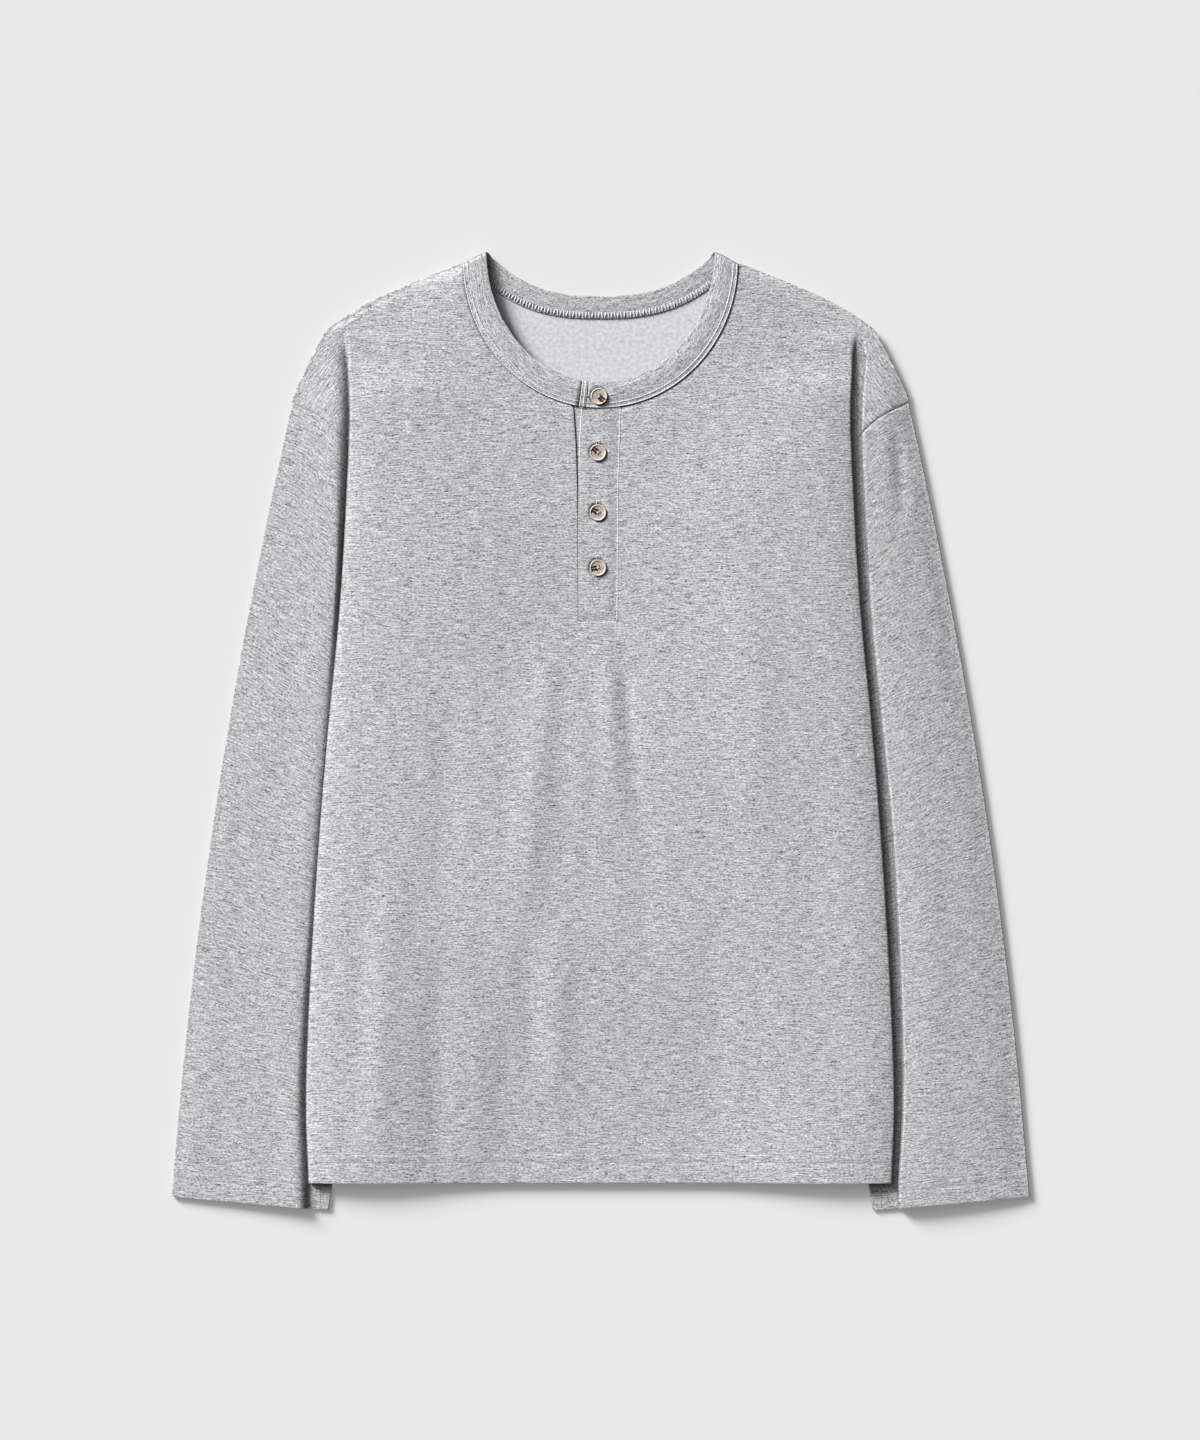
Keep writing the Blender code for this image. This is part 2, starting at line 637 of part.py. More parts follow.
shirt = bpy.data.collections.new("henley_shirt")
cutters = bpy.data.collections.new("cutters")
bpy.context.scene.collection.children.link(shirt)
bpy.context.scene.collection.children.link(cutters)

make_front()
make_back()
make_sleeve("sleeve_left", -1)
make_sleeve("sleeve_right", 1)
make_neckband()
make_plackets()
for number, spot in enumerate(BUTTONS, 1):
    make_button(f"button_{number}", spot)
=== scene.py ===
"""The looks of a henley shirt laid flat: grey marl jersey, its seams, stitching and buttons, and a stage."""

import math
from functools import partial
from itertools import accumulate

import bpy
import numpy as np
from bpy.props import FloatProperty, FloatVectorProperty, PointerProperty
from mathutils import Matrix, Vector
from mathutils.bvhtree import BVHTree


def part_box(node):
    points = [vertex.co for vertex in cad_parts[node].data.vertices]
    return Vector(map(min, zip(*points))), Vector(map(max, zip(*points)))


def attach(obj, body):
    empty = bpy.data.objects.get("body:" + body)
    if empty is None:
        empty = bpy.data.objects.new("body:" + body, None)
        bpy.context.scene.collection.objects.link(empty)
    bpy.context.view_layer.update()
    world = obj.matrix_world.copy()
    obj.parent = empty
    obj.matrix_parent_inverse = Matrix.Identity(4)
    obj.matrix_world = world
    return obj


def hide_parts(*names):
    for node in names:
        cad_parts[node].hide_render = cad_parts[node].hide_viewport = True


bl_info = {
    "name": "Henley Shirt",
    "version": (1, 0, 0),
    "blender": (4, 5, 0),
    "location": "View3D > Sidebar > Henley",
    "description": "Dresses a henley shirt laid flat and sets its stage",
    "category": "Object",
}

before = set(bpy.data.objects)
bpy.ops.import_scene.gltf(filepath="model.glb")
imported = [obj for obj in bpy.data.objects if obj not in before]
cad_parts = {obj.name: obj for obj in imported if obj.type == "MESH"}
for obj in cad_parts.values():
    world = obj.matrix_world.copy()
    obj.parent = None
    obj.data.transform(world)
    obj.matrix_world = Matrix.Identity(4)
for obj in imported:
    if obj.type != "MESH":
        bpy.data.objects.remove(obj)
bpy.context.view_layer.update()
BODY = "root"

# ---- Sizes, in metres ----
# X runs across the shirt, Y from the hem to the collar and Z up from the surface that it lies on.

MM = 0.001
CLOTH = 0.0010  # one layer of jersey
LAYER = 0.0015  # from the middle of one stacked layer to the middle of the next
LOFT = 0.0044  # from the back wall's middle to the front wall's middle, where the shirt is softly full
CHEST_LOFT = 0.0049
CHEST_LIFT = 0.0020  # how much fuller the front lies here than its solid
FLOOR_LAYER = CLOTH / 2
SHOULDER_RETURN = 0.0010
SEAM_GAP = 0.0003

NECK_POINT_Y = 0.3514
NECK_HALF = 0.1031
FRONT_NECK_DROP = 0.1093
BACK_NECK_DROP = 0.0420
BACK_NECK_POWER = 2.65
FIRST_ROW_Y = 0.3504
HEM_Y = -0.3386
HEM_RELAX = 0.0048  # how far the front sinks from its belly to its hem
HEM_RELAX_LENGTH = 0.200

SHOULDER_EDGE = (  # y, x
    (0.3514, 0.1031), (0.3386, 0.1354), (0.3236, 0.1699), (0.3086, 0.1954), (0.3011, 0.2051),
    (0.2861, 0.2141), (0.2711, 0.2216), (0.2561, 0.2288), (0.2471, 0.2321),
)
ARMHOLE_SEAM = (  # y, x, from the shoulder's tip to the underarm
    (0.2471, 0.2321), (0.2365, 0.2110), (0.2215, 0.1930), (0.1930, 0.1540), (0.1600, 0.1150),
)
BODY_CREASE = (  # y, x, the body's visible side edge
    (0.3010, 0.1916), (0.2410, 0.1888), (0.1736, 0.1912), (0.0910, 0.1963), (0.0010, 0.2050),
    (-0.0890, 0.2123), (-0.2240, 0.2200), (-0.2840, 0.2214), (-0.3386, 0.2194),
)
TIP_Y, TIP_X = ARMHOLE_SEAM[0]
UNDERARM_Y, UNDERARM_X = ARMHOLE_SEAM[-1]
APEX_Y, APEX_X = BODY_CREASE[0]
SIDE_SEAM_HEM_X = 0.1890
FOLD_CLOSED_Y = 0.2360
TURN_LENGTH = 0.0030
LEAST_ANGLE = 0.02
RISE_WIDTH = 0.110
RISE_MARGIN = 0.0030
LEAST_FLAT = 0.3
SHORT_EDGE = 0.3

# Soft edges and crowns of the cloth
ROLL = 0.0009  # how far the body's top layers sink beside the side crease
ROLL_WIDTH = 0.022
PUFF, PUFF_WIDTH = 0.0015, 0.060  # how far they swell over the side's folded layers
BELLY_LIFT, BELLY_LENGTH = 0.0018, 0.12  # how much higher the front's belly stands than its chest
CROWN = {-1: (0.0024, 0.0006), 1: (0.0024, 0.0016)}  # above the loft beside the body, below it at the edge
EDGE_SINK = {-1: 0.0012, 1: 0.0}  # how much lower than the loft the shoulder's and sleeve's outer edge lies
CROWN_WIDTH = 0.040  # a narrower stretch is crowned less
EDGE_ROLL = {-1: 0.0006, 1: 0.0010}  # at the sleeve's outer edge
EDGE_ROLL_WIDTH = 0.022
VALLEY = 0.0004
GUTTER_FLAT = (  # y, width of the low strip beside the body's edge at the wearer's left
    (0.3010, 0.0), (0.2900, 0.0034), (0.2740, 0.0068), (0.2560, 0.0068), (0.2150, 0.0060),
    (0.1886, 0.0058), (0.1400, 0.0056), (0.0986, 0.0052), (0.0100, 0.0052), (-0.0889, 0.0062),
    (-0.2000, 0.0054), (-0.2700, 0.0044), (-0.3386, 0.0030),
)
GUTTER_RISE = (  # y, width of the slope up from it
    (0.3010, 0.0030), (0.2740, 0.0016), (0.1886, 0.0014), (0.0986, 0.0018), (-0.0889, 0.0022),
    (-0.3386, 0.0018),
)
SLOPE_DROP, SLOPE_WIDTH = 0.0013, 0.012  # the gentle slope down to the body at the wearer's right
STEP_WIDTH = (  # y, width of the steep step below that slope
    (0.3010, 0.0120), (0.2200, 0.0095), (0.1700, 0.0070), (0.1200, 0.0045), (0.0300, 0.0040),
    (-0.1500, 0.0040), (-0.2300, 0.0060), (-0.3386, 0.0070),
)
STEP_SHARE = (  # y, how far that step goes down of the whole way
    (0.301, 0.8), (0.22, 1.0), (0.13, 1.0), (0.03, 0.25), (-0.12, 0.25), (-0.21, 0.5), (-0.28, 0.75),
)
STEP_TUCK = 0.0015  # under the body it goes down the rest of the way within this
LEAST_STEP = LEAST_SPAN = 0.0010
BRINK_DROP, BRINK_WIDTH = 0.0007, 0.018  # the sleeve sinks towards the gutter at the wearer's left
EDGE_ROUND = (  # a folded edge from its top to its underside, as shares of its half width and half height
    (0.8, 1.0), (0.92, 0.995), (0.98, 0.97), (1.0, 0.91), (0.98, 0.62), (0.8, 0.0), (0.45, -0.65), (0, -1),
)
SEAM_SINK = 0.0006  # the neck seam lies this deep between the cloth beside it
SEAM_WIDTH = 0.0009
ARMHOLE_SINK = 0.0005
ARMHOLE_WIDTH = 0.0007
ARMHOLE_STEEP = 0.75  # turns a height above the armhole seam into a distance from it
HEM_DEPTH = 0.0220
HEM_SWELL = 0.00020  # where the turned-up cloth lies under it
NEEDLE_SINK = 0.00012
NEEDLE_WIDTH = 0.0009
NEEDLE_ROWS = (0.0220, 0.0160)  # above the hem's edge
CUFF_NEEDLE_ROWS = (0.0210, 0.0150)

# Sleeve
SLEEVE_FLARE = 0.2307
SLEEVE_BOW = 0.1313
SLEEVE_TOP_INNER_X = 0.1190
CUFF_OUTER_Y = -0.3484
CUFF_INNER_X, CUFF_INNER_Y = 0.2044, -0.3588
SLEEVE_LENGTH = TIP_Y - CUFF_OUTER_Y
HEAD_FADE = 6
SLEEVE_SEAM_GAP = 0.0005

# Neckband
BAND_GAP = 0.0001
BAND_REACH = NECK_HALF - BAND_GAP
BAND_FREE_HALF = 0.0853
BAND_FREE_TOP_Y = 0.3600
BAND_FREE_DROP = 0.0984
BAND_CORNER = Vector((0.0851, 0.3589))
BAND_WIDTH = 0.020
BAND_BACK_DROP = 0.0320
BAND_RISE = 0.0003
BAND_DROOP = -0.0005  # how much lower its free edge lies than its sewn one
BAND_HALF = 0.0010  # half of its thickness
BACK_RISE = 0.0008  # how much higher the free edge of its back half lies
BAND_DIP = 0.0016
BAND_DIP_FROM, BAND_DIP_TO = 0.0184, 0.0162
OVER_END_X, UNDER_END_X = -0.0161, -0.0110
DROOP_ANGLE = 0.4
SHOULDER_ANGLE = 0.032

# Placket
PLACKET_HALF = 0.0006
PLACKET_BOTTOM_Y = 0.0830
SLOT_LEFT = ((0.2446, -0.0206), (0.2140, -0.0186), (0.1850, -0.0176), (0.0826, -0.0169))  # y, x
SLOT_RIGHT = ((0.2446, 0.0153), (0.1850, 0.0135), (0.0826, 0.0128))
PLACKET_EDGE = ((0.2440, -0.0143), (0.2150, -0.0159), (0.1750, -0.0164), (0.0830, -0.0164))
SLOT_BOTTOM_Y = SLOT_LEFT[-1][0]
OVER_PLACKET_Z = 0.0059 + CHEST_LIFT
UNDER_PLACKET_Z = 0.0045 + CHEST_LIFT
UNDER_PLACKET_RIGHT_X = 0.0100
PLACKET_SINK, SINK_LENGTH = 0.00055, 0.006  # it lies level with the front where it is sewn to it
TUCK = 0.0008  # and goes this far over it

# Buttons
BUTTON_THICKNESS = 0.0024
HOLE_RADIUS = 0.00060
HOLE_OFFSET = 0.0018
BUTTONS = (  # x, y and the turn in degrees of its holes
    (-0.0011, 0.2509, 22), (-0.0019, 0.2089, 52), (-0.0019, 0.1639, 50), (-0.0019, 0.1226, 8),
)
STREAK_TURNS = (-42, 142, 155, 192)  # which way each button's brown streak runs
SETTLE = (0.0005, 0.0013, 0.0013, 0.0013)  # how much lower each lies than its solid, raised as the chest is
DIP = 0.0010  # a button presses the cloth in this far
DIP_RADIUS, DIP_EDGE = 0.0064, 0.0014

# Soft folds: x and y of both ends, half width, height; a trough's height is below 0
FRONT_FOLDS = (
    (-0.034, 0.098, -0.061, -0.15, 0.013, 0.0012), (0.015, 0.09, 0.029, -0.07, 0.0065, -0.0008),
    (0.004, 0.08, 0.009, -0.06, 0.007, 0.0008), (0.03, -0.04, 0.037, -0.17, 0.01, -0.0006),
    (-0.016, 0.05, -0.015, -0.06, 0.008, 0.0004), (-0.057, -0.13, -0.05, -0.26, 0.008, -0.0006),
    (-0.031, -0.13, -0.035, -0.29, 0.011, 0.0008), (-0.116, 0.06, -0.118, -0.15, 0.013, -0.0008),
    (-0.12, -0.13, -0.124, -0.33, 0.011, -0.0012), (-0.156, -0.08, -0.169, -0.32, 0.011, 0.0009),
    (-0.179, -0.07, -0.183, -0.3, 0.01, -0.0004), (-0.09, -0.19, -0.094, -0.3386, 0.013, 0.0009),
    (0.083, -0.09, 0.087, -0.31, 0.011, -0.0006), (0.108, 0.15, 0.118, -0.08, 0.017, 0.0009),
    (0.15, 0.07, 0.172, -0.33, 0.02, -0.0005),
)
LEFT_SLEEVE_FOLDS = (
    (0.235, 0.06, 0.265, -0.04, 0.013, 0.0003), (0.246, -0.23, 0.242, -0.33, 0.01, -0.0006),
    (0.29, -0.2, 0.3, -0.33, 0.012, 0.0004),
)
RIGHT_SLEEVE_FOLDS = (
    (0.2214, 0.234, 0.227, 0.16, 0.0048, -0.0011), (0.248, 0.19, 0.276, 0.02, 0.009, -0.0007),
    (0.242, -0.06, 0.256, -0.24, 0.012, 0.0004), (0.306, -0.25, 0.32, -0.34, 0.011, -0.0009),
)
SLEEVE_FOLDS = {-1: LEFT_SLEEVE_FOLDS, 1: RIGHT_SLEEVE_FOLDS}
FOLD_RUN, FOLD_TAIL = 2.5, 0.3  # how fast a fold rises from its ends, and what is left at its lower one
FOLD_FADE = 0.012  # the front's folds fade away this close to its edge
SLEEVE_FADE, EDGE_FADE = 0.009, 0.010  # the sleeve's do beside the body and at its outer edge
NEEDLE_FADE = 0.004  # the cuff's stitches draw it in from this far beside the body
NEEDLE_EDGE = 0.002  # the turned-up cloth ends softly within this


# ---- Curves and heights ----


def clamp(t):
    return max(0.0, min(1.0, t))


def smooth(t):
    """0 before 0, 1 after 1, and an S between them."""
    t = clamp(t)
    return t * t * (3 - 2 * t)


def mix(a, b, t):
    return a + (b - a) * t


def spread(a, b, count):
    """Evenly spaced values from a to b, both included."""
    return [mix(a, b, k / (count - 1)) for k in range(count)]


def bell(distance, width):
    """1 at no distance, falling to nothing over about twice this width."""
    return math.exp(-((distance / width) ** 2))


def runs(points, start=0.0):
    """How far each point lies along the line through all of them, counted from this start."""
    return list(accumulate(map(math.dist, points, points[1:]), initial=start))


def arc(centre, radius, angles):
    """(x, z) points round a centre at these angles, which are counted from straight up."""
    return [centre + radius * Vector((math.sin(a), math.cos(a))) for a in angles]


def halved(low, high, is_low, steps=40):
    """Halves the range time and again about the place where is_low stops being true."""
    for _ in range(steps):
        middle = (low + high) / 2
        if is_low(middle):
            low = middle
        else:
            high = middle
    return low, high


def along(table, y):
    """x at height y on the smooth curve through a table's (y, x) rows."""
    rows = sorted(table)
    ys = [row[0] for row in rows]
    xs = [row[1] for row in rows]
    if y <= ys[0]:
        return xs[0]
    if y >= ys[-1]:
        return xs[-1]
    i = max(k for k in range(len(ys) - 1) if ys[k] <= y)
    slopes = [(xs[k + 1] - xs[k]) / (ys[k + 1] - ys[k]) for k in range(len(ys) - 1)]
    start = (slopes[max(i - 1, 0)] + slopes[i]) / 2
    end = (slopes[i] + slopes[min(i + 1, len(slopes) - 1)]) / 2
    step = ys[i + 1] - ys[i]
    t = (y - ys[i]) / step
    return (
        (2 * t**3 - 3 * t**2 + 1) * xs[i]
        + (t**3 - 2 * t**2 + t) * step * start
        + (3 * t**2 - 2 * t**3) * xs[i + 1]
        + (t**3 - t**2) * step * end
    )


def fold_relief(folds, x, y):
    """Height that a table of soft folds adds at x, y."""
    total = 0.0
    for x0, y0, x1, y1, width, height in folds:
        run = Vector((x1 - x0, y1 - y0))
        away = Vector((x - x0, y - y0))
        t = clamp(away.dot(run) / run.length_squared)
        distance = (away - run * t).length / width
        if distance < 3:
            risen = height * math.exp(-distance * distance) * smooth(FOLD_RUN * t)
            total += risen * smooth(FOLD_RUN * (1 - t) + FOLD_TAIL)
    return total


def button_dip(x, y):
    """How far the cloth is pressed in round and under the buttons."""
    return DIP * max(smooth((DIP_RADIUS + DIP_EDGE - math.dist((x, y), b[:2])) / DIP_EDGE) for b in BUTTONS)


def needle_relief(distance, rows):
    """How far the cloth is drawn in beside rows of stitches, and swells over its turned-up edge."""
    sunk = sum(NEEDLE_SINK * bell(distance - row, NEEDLE_WIDTH) for row in rows)
    return HEM_SWELL * smooth((HEM_DEPTH + NEEDLE_EDGE / 2 - distance) / NEEDLE_EDGE) - sunk


def front_neck_x(y):
    drop = (NECK_POINT_Y - y) / FRONT_NECK_DROP
    return NECK_HALF * math.sqrt(max(0.0, 1 - drop * drop))


def front_inner_x(y, slot):
    """The front's inner edge: the neck seam and then the placket's slot."""
    return max(front_neck_x(y), abs(along(slot, y)))


def back_neck_y(share):
    return NECK_POINT_Y - BACK_NECK_DROP + BACK_NECK_DROP * share**BACK_NECK_POWER


def back_neck_x(y):
    up = (y - NECK_POINT_Y + BACK_NECK_DROP) / BACK_NECK_DROP
    return NECK_HALF * max(0.0, up) ** (1 / BACK_NECK_POWER)


def sleeve_edge_x(down):
    """The sleeve's outer edge this far down from the shoulder's tip."""
    return TIP_X + SLEEVE_FLARE * down - SLEEVE_BOW * down * down


def outer_x(y):
    """The shirt's outline: the shoulder's edge and then the sleeve's outer edge."""
    return along(SHOULDER_EDGE, y) if y >= TIP_Y else sleeve_edge_x(TIP_Y - y)


class Fold:
    """The side fold at height y: how far the two body layers turn, and its radii and lengths."""

    def __init__(self, y):
        self.y = y
        down = clamp((APEX_Y - y) / (APEX_Y - FOLD_CLOSED_Y))
        self.closed = mix(smooth(down), down * (2 - down), 0.5)
        self.angle = max(LEAST_ANGLE, math.pi * self.closed)
        self.half_gap = mix(LOFT, LAYER, smooth(2 * self.closed)) / 2
        self.radius = max(self.half_gap + LAYER / 2, TURN_LENGTH / self.angle)
        self.roll = ROLL * smooth(2 * self.closed - 1)
        self.top_radius = self.radius - self.roll / (1 - math.cos(self.angle)) if self.roll else self.radius
        self.crease = along(BODY_CREASE, y)
        reach = CLOTH / 2 + self.half_gap + self.radius
        self.turn_x = self.crease - reach * math.sin(min(self.angle, math.pi / 2))
        sine, cosine = math.sin(self.angle), math.cos(self.angle)
        self.length = max(0.0, self.turn_x - self.inner_x())
        self.drop = 2 * self.radius * (1 - cosine) + self.length * sine
        self.high = FLOOR_LAYER + self.half_gap + self.drop
        self.foot_x = self.turn_x + 2 * self.radius * sine + self.length * cosine
        self.valley = max(self.crease, self.foot_x) + VALLEY

    def inner_x(self):
        if self.y < UNDERARM_Y:
            return mix(UNDERARM_X, SIDE_SEAM_HEM_X, (UNDERARM_Y - self.y) / (UNDERARM_Y - HEM_Y))
        return mix(APEX_X, UNDERARM_X, (FOLD_CLOSED_Y - self.y) / (FOLD_CLOSED_Y - UNDERARM_Y))

    def rise_to(self):
        reach = self.length + LAYER + LAYER / 2 + CLOTH / 2
        return self.turn_x - RISE_MARGIN - self.closed * reach

    def height(self, x, side):
        """Middle of the upper front layer, side +1, or of the upper back layer, side -1."""
        share = smooth((x - self.rise_to()) / RISE_WIDTH + 1)
        near = max(0.0, (x - self.turn_x) / ROLL_WIDTH + 1)
        inwards = clamp((x - self.turn_x) / PUFF_WIDTH + 1)
        rolled = self.high - self.roll * near * near + PUFF * self.closed * (1 - inwards * inwards)
        if side < 0:
            return mix(FLOOR_LAYER, rolled - self.half_gap, share)
        slack = HEM_RELAX * smooth((HEM_Y + HEM_RELAX_LENGTH - self.y) / HEM_RELAX_LENGTH)
        lift = BELLY_LIFT * smooth((PLACKET_BOTTOM_Y - self.y) / BELLY_LENGTH)
        return mix(FLOOR_LAYER + CHEST_LOFT + CHEST_LIFT - slack + lift, rolled + self.half_gap, share)

    def path(self, side, steps):
        """(x, z) points of the fold, side +1 for the front layer and -1 for the back layer."""
        first = 2 * self.roll / ROLL_WIDTH + 2 * PUFF * self.closed / PUFF_WIDTH
        centre = Vector((self.turn_x, self.high - self.roll - self.top_radius))
        points = arc(centre, self.top_radius + side * self.half_gap, spread(first, self.angle, steps + 1))
        centre += (self.top_radius + self.radius) * Vector((math.sin(self.angle), math.cos(self.angle)))
        centre += self.length * Vector((math.cos(self.angle), -math.sin(self.angle)))
        back = [self.angle * (1 - k / steps) for k in range(steps + 1)]
        return points + arc(centre, side * self.half_gap - self.radius, back)

    def slope(self, sign):
        """Where the slope beside the body's edge starts, and its width."""
        if sign > 0:
            flat = max(0.0, along(GUTTER_FLAT, self.y))
            return self.valley + flat, max(LEAST_STEP, along(GUTTER_RISE, self.y))
        return self.valley, max(LEAST_STEP, along(STEP_WIDTH, self.y))

    def low_height(self, x, sign):
        """Middle of the upper wall of the shoulder and the sleeve, beyond and under the body's edge."""
        near = FLOOR_LAYER + 2 * self.half_gap
        edge = outer_x(self.y)
        away = max(0.0, x - self.valley)
        share = min(1.0, away / max(LEAST_SPAN, edge - self.valley))
        inner, outer = CROWN[sign]
        crown = min(1.0, max(0.0, edge - self.valley) / CROWN_WIDTH) * self.closed
        rolled = max(0.0, 1 - (edge - x) / EDGE_ROLL_WIDTH)
        bent = share * share if sign > 0 else 1 - (1 - share) ** 2
        loft = FLOOR_LAYER + LOFT - EDGE_SINK[sign] * share
        loft += crown * (mix(inner, -outer, bent) - EDGE_ROLL[sign] * min(1.0, rolled) ** 2)
        start, width = self.slope(sign)
        if sign > 0:
            loft -= BRINK_DROP * self.closed * (1 - smooth((x - start - width) / BRINK_WIDTH))
            return mix(near, loft, smooth((x - start) / width))
        gentle = SLOPE_DROP * self.closed * max(0.0, 1 - away / SLOPE_WIDTH) ** 2
        steep = max(0.0, 1 - away / width) ** 2
        deep = mix(min(1.0, along(STEP_SHARE, self.y)), 1.0, smooth((self.valley - x) / STEP_TUCK))
        return loft - gentle - (loft - SLOPE_DROP * self.closed - near) * steep * deep


def armhole_y(x):
    """Height of the armhole seam at x."""
    return sum(halved(UNDERARM_Y, TIP_Y, lambda y: along(ARMHOLE_SEAM, y) < x)) / 2


def armhole_sink(x, y):
    """How far the cloth sinks beside the armhole seam."""
    if x > TIP_X or x < UNDERARM_X:
        return 0.0
    return ARMHOLE_SINK * bell(abs(y - armhole_y(x)) * ARMHOLE_STEEP, ARMHOLE_WIDTH)


# ---- Meshes ----

MERGE = 0.00002  # points this close become one
RIM_WIDTH, RIM_ANGLE = 0.3 * CLOTH, math.radians(60)


def deselect():
    bpy.ops.object.select_all(action="DESELECT")


def activate(piece):
    deselect()
    piece.select_set(True)
    bpy.context.view_layer.objects.active = piece


def edit_all(*steps):
    """Takes these steps, each on the whole of the active mesh."""
    bpy.ops.object.mode_set(mode="EDIT")
    for step in steps:
        bpy.ops.mesh.select_all(action="SELECT")
        step()
    bpy.ops.object.mode_set(mode="OBJECT")


def tidy_mesh():
    """Merges the active mesh's doubles, deletes what is loose and turns its faces outwards."""
    merge = partial(bpy.ops.mesh.remove_doubles, threshold=MERGE)
    edit_all(merge, bpy.ops.mesh.delete_loose, bpy.ops.mesh.normals_make_consistent)


def apply_modifier(piece, kind, **settings):
    """Adds one modifier with these settings and applies it."""
    activate(piece)
    modifier = piece.modifiers.new(kind.lower(), kind)
    for key, value in settings.items():
        setattr(modifier, key, value)
    bpy.ops.object.modifier_apply(modifier=modifier.name)


def paint(piece, *materials):
    piece.data.materials.clear()
    for material in materials:
        piece.data.materials.append(material)


def grid_piece(name, points, flat, sign=1):
    """A grid moved onto rows of (x, y, z) points. flat holds the same rows of cut cloth, (across, along)."""
    rows, columns = len(points), len(points[0])
    deselect()
    bpy.ops.mesh.primitive_grid_add(x_subdivisions=columns - 1, y_subdivisions=rows - 1, size=1.0)
    piece = bpy.context.object
    piece.name = name
    piece.data.name = name
    places = np.array(points, float).reshape(-1, 3)
    places[:, 0] *= sign
    piece.data.vertices.foreach_set("co", places.ravel())
    cut = np.array(flat, float).reshape(-1, 2)
    cut[:, 0] *= sign
    corners = np.zeros(len(piece.data.loops), np.int32)
    piece.data.loops.foreach_get("vertex_index", corners)
    piece.data.uv_layers[0].name = "cloth"
    piece.data.uv_layers[0].data.foreach_set("uv", cut[corners].ravel())
    piece.data.update()
    return piece


def joined(name, pieces, up):
    """One mesh of several grids, its first face turned up, down or, for 0, left as it is."""
    activate(pieces[0])
    for piece in pieces:
        piece.select_set(True)
    if len(pieces) > 1:
        bpy.ops.object.join()
    piece = bpy.context.object
    piece.name = name
    piece.data.name = name
    tidy_mesh()
    if piece.data.polygons[0].normal.z * up < 0:
        edit_all(bpy.ops.mesh.flip_normals)
    piece.data.shade_smooth()
    return piece


def walled(name, sheets, up, node, outside, inside):
    """One piece of cloth from its grids, with a wall. outside and inside are its two faces' materials."""
    piece = joined(name, sheets, up)
    paint(piece, outside, inside)
    apply_modifier(piece, "SOLIDIFY", thickness=CLOTH, offset=0, use_quality_normals=True, material_offset=1)
    apply_modifier(piece, "BEVEL", width=RIM_WIDTH, segments=2, limit_method="ANGLE", angle_limit=RIM_ANGLE)
    piece.data.shade_smooth()
    return place_piece(piece, node, node)


def closed_band(name, middle, halves, flat, material):
    """A closed shell about rows of middle points. halves holds half of its thickness at each of them."""
    centre = np.array(middle, float)
    lengthways = np.gradient(centre, axis=0)
    across = np.gradient(centre, axis=1)
    normal = np.cross(across, lengthways)
    normal /= np.linalg.norm(normal, axis=2, keepdims=True)
    half = np.array(halves, float)
    over = centre + normal * half[:, :, None]
    under = centre - normal * half[:, :, None]
    ring = np.concatenate([over, under[:, -2::-1]], axis=1)
    cut = np.array(flat, float)
    cut = np.concatenate([cut, cut[:, -2::-1]], axis=1)
    ends = [ring[:1].mean(axis=1, keepdims=True), ring[-1:].mean(axis=1, keepdims=True)]
    caps = [np.repeat(end, ring.shape[1], axis=1) for end in ends]
    ring = np.concatenate([caps[0], ring, caps[1]], axis=0)
    cut = np.concatenate([cut[:1], cut, cut[-1:]], axis=0)
    piece = joined(name, [grid_piece(name, ring.tolist(), cut.tolist())], 0)
    paint(piece, material)
    return piece


def place_piece(piece, slot, *nodes):
    """The piece rides on the shirt and stands for these nodes, whose solids are hidden. slot is not used."""
    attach(piece, BODY)
    if nodes:
        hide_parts(*nodes)
    return piece


# ---- Sections of the body ----

TURN_STEPS = 8
MAIN_COLUMNS = 26
RISE_COLUMNS = 16
FLAT_COLUMNS = 14
BEFORE_SLOPE = (0.25, 0.50, 0.75, 0.90)
ACROSS_SLOPE = (0.0, 0.10, 0.22, 0.36, 0.50, 0.66, 0.84, 1.0)
BEYOND_SLOPE = (0.06, 0.16, 0.32, 0.52, 0.72, 0.86, 0.94, 0.98, 1.0)
UPPER_COLUMNS = MAIN_COLUMNS + RISE_COLUMNS + FLAT_COLUMNS
CAP_COLUMN = UPPER_COLUMNS + 2 * (TURN_STEPS + 1) - 1  # the shoulder's cap starts at this column
CAP_TOP_Y = 0.3080
CAP_GRAIN = math.radians(48)  # the cap's grain rises inwards
EVEN_HEIGHT = 0.035  # above the fold's start the columns spread out evenly within this


def upper_points(fold, inner, side):
    top = fold.rise_to()
    foot = max(top - RISE_WIDTH, mix(inner, top, LEAST_FLAT))
    xs = spread(inner, foot, MAIN_COLUMNS + 1)[:-1]
    xs += spread(foot, top, RISE_COLUMNS + 1)[:-1]
    xs += spread(top, fold.turn_x, FLAT_COLUMNS + 1)[:-1]
    return [(x, fold.height(x, side)) for x in xs] + [tuple(p) for p in fold.path(side, TURN_STEPS)]


def edge_radius(y):
    return min(LOFT / 2, SHORT_EDGE * (along(SHOULDER_EDGE, y) - front_neck_x(y)))


def flat_edge(y, side):
    """x where the low layers stop lying flat, at the shoulder's edge or the armhole seam."""
    y_edge = max(y, TIP_Y)
    edge = along(SHOULDER_EDGE, y_edge) - edge_radius(y_edge) - CLOTH / 2
    if side < 0:
        edge -= SHOULDER_RETURN + SEAM_GAP
    return min(edge, along(ARMHOLE_SEAM, y)) if y < TIP_Y else edge


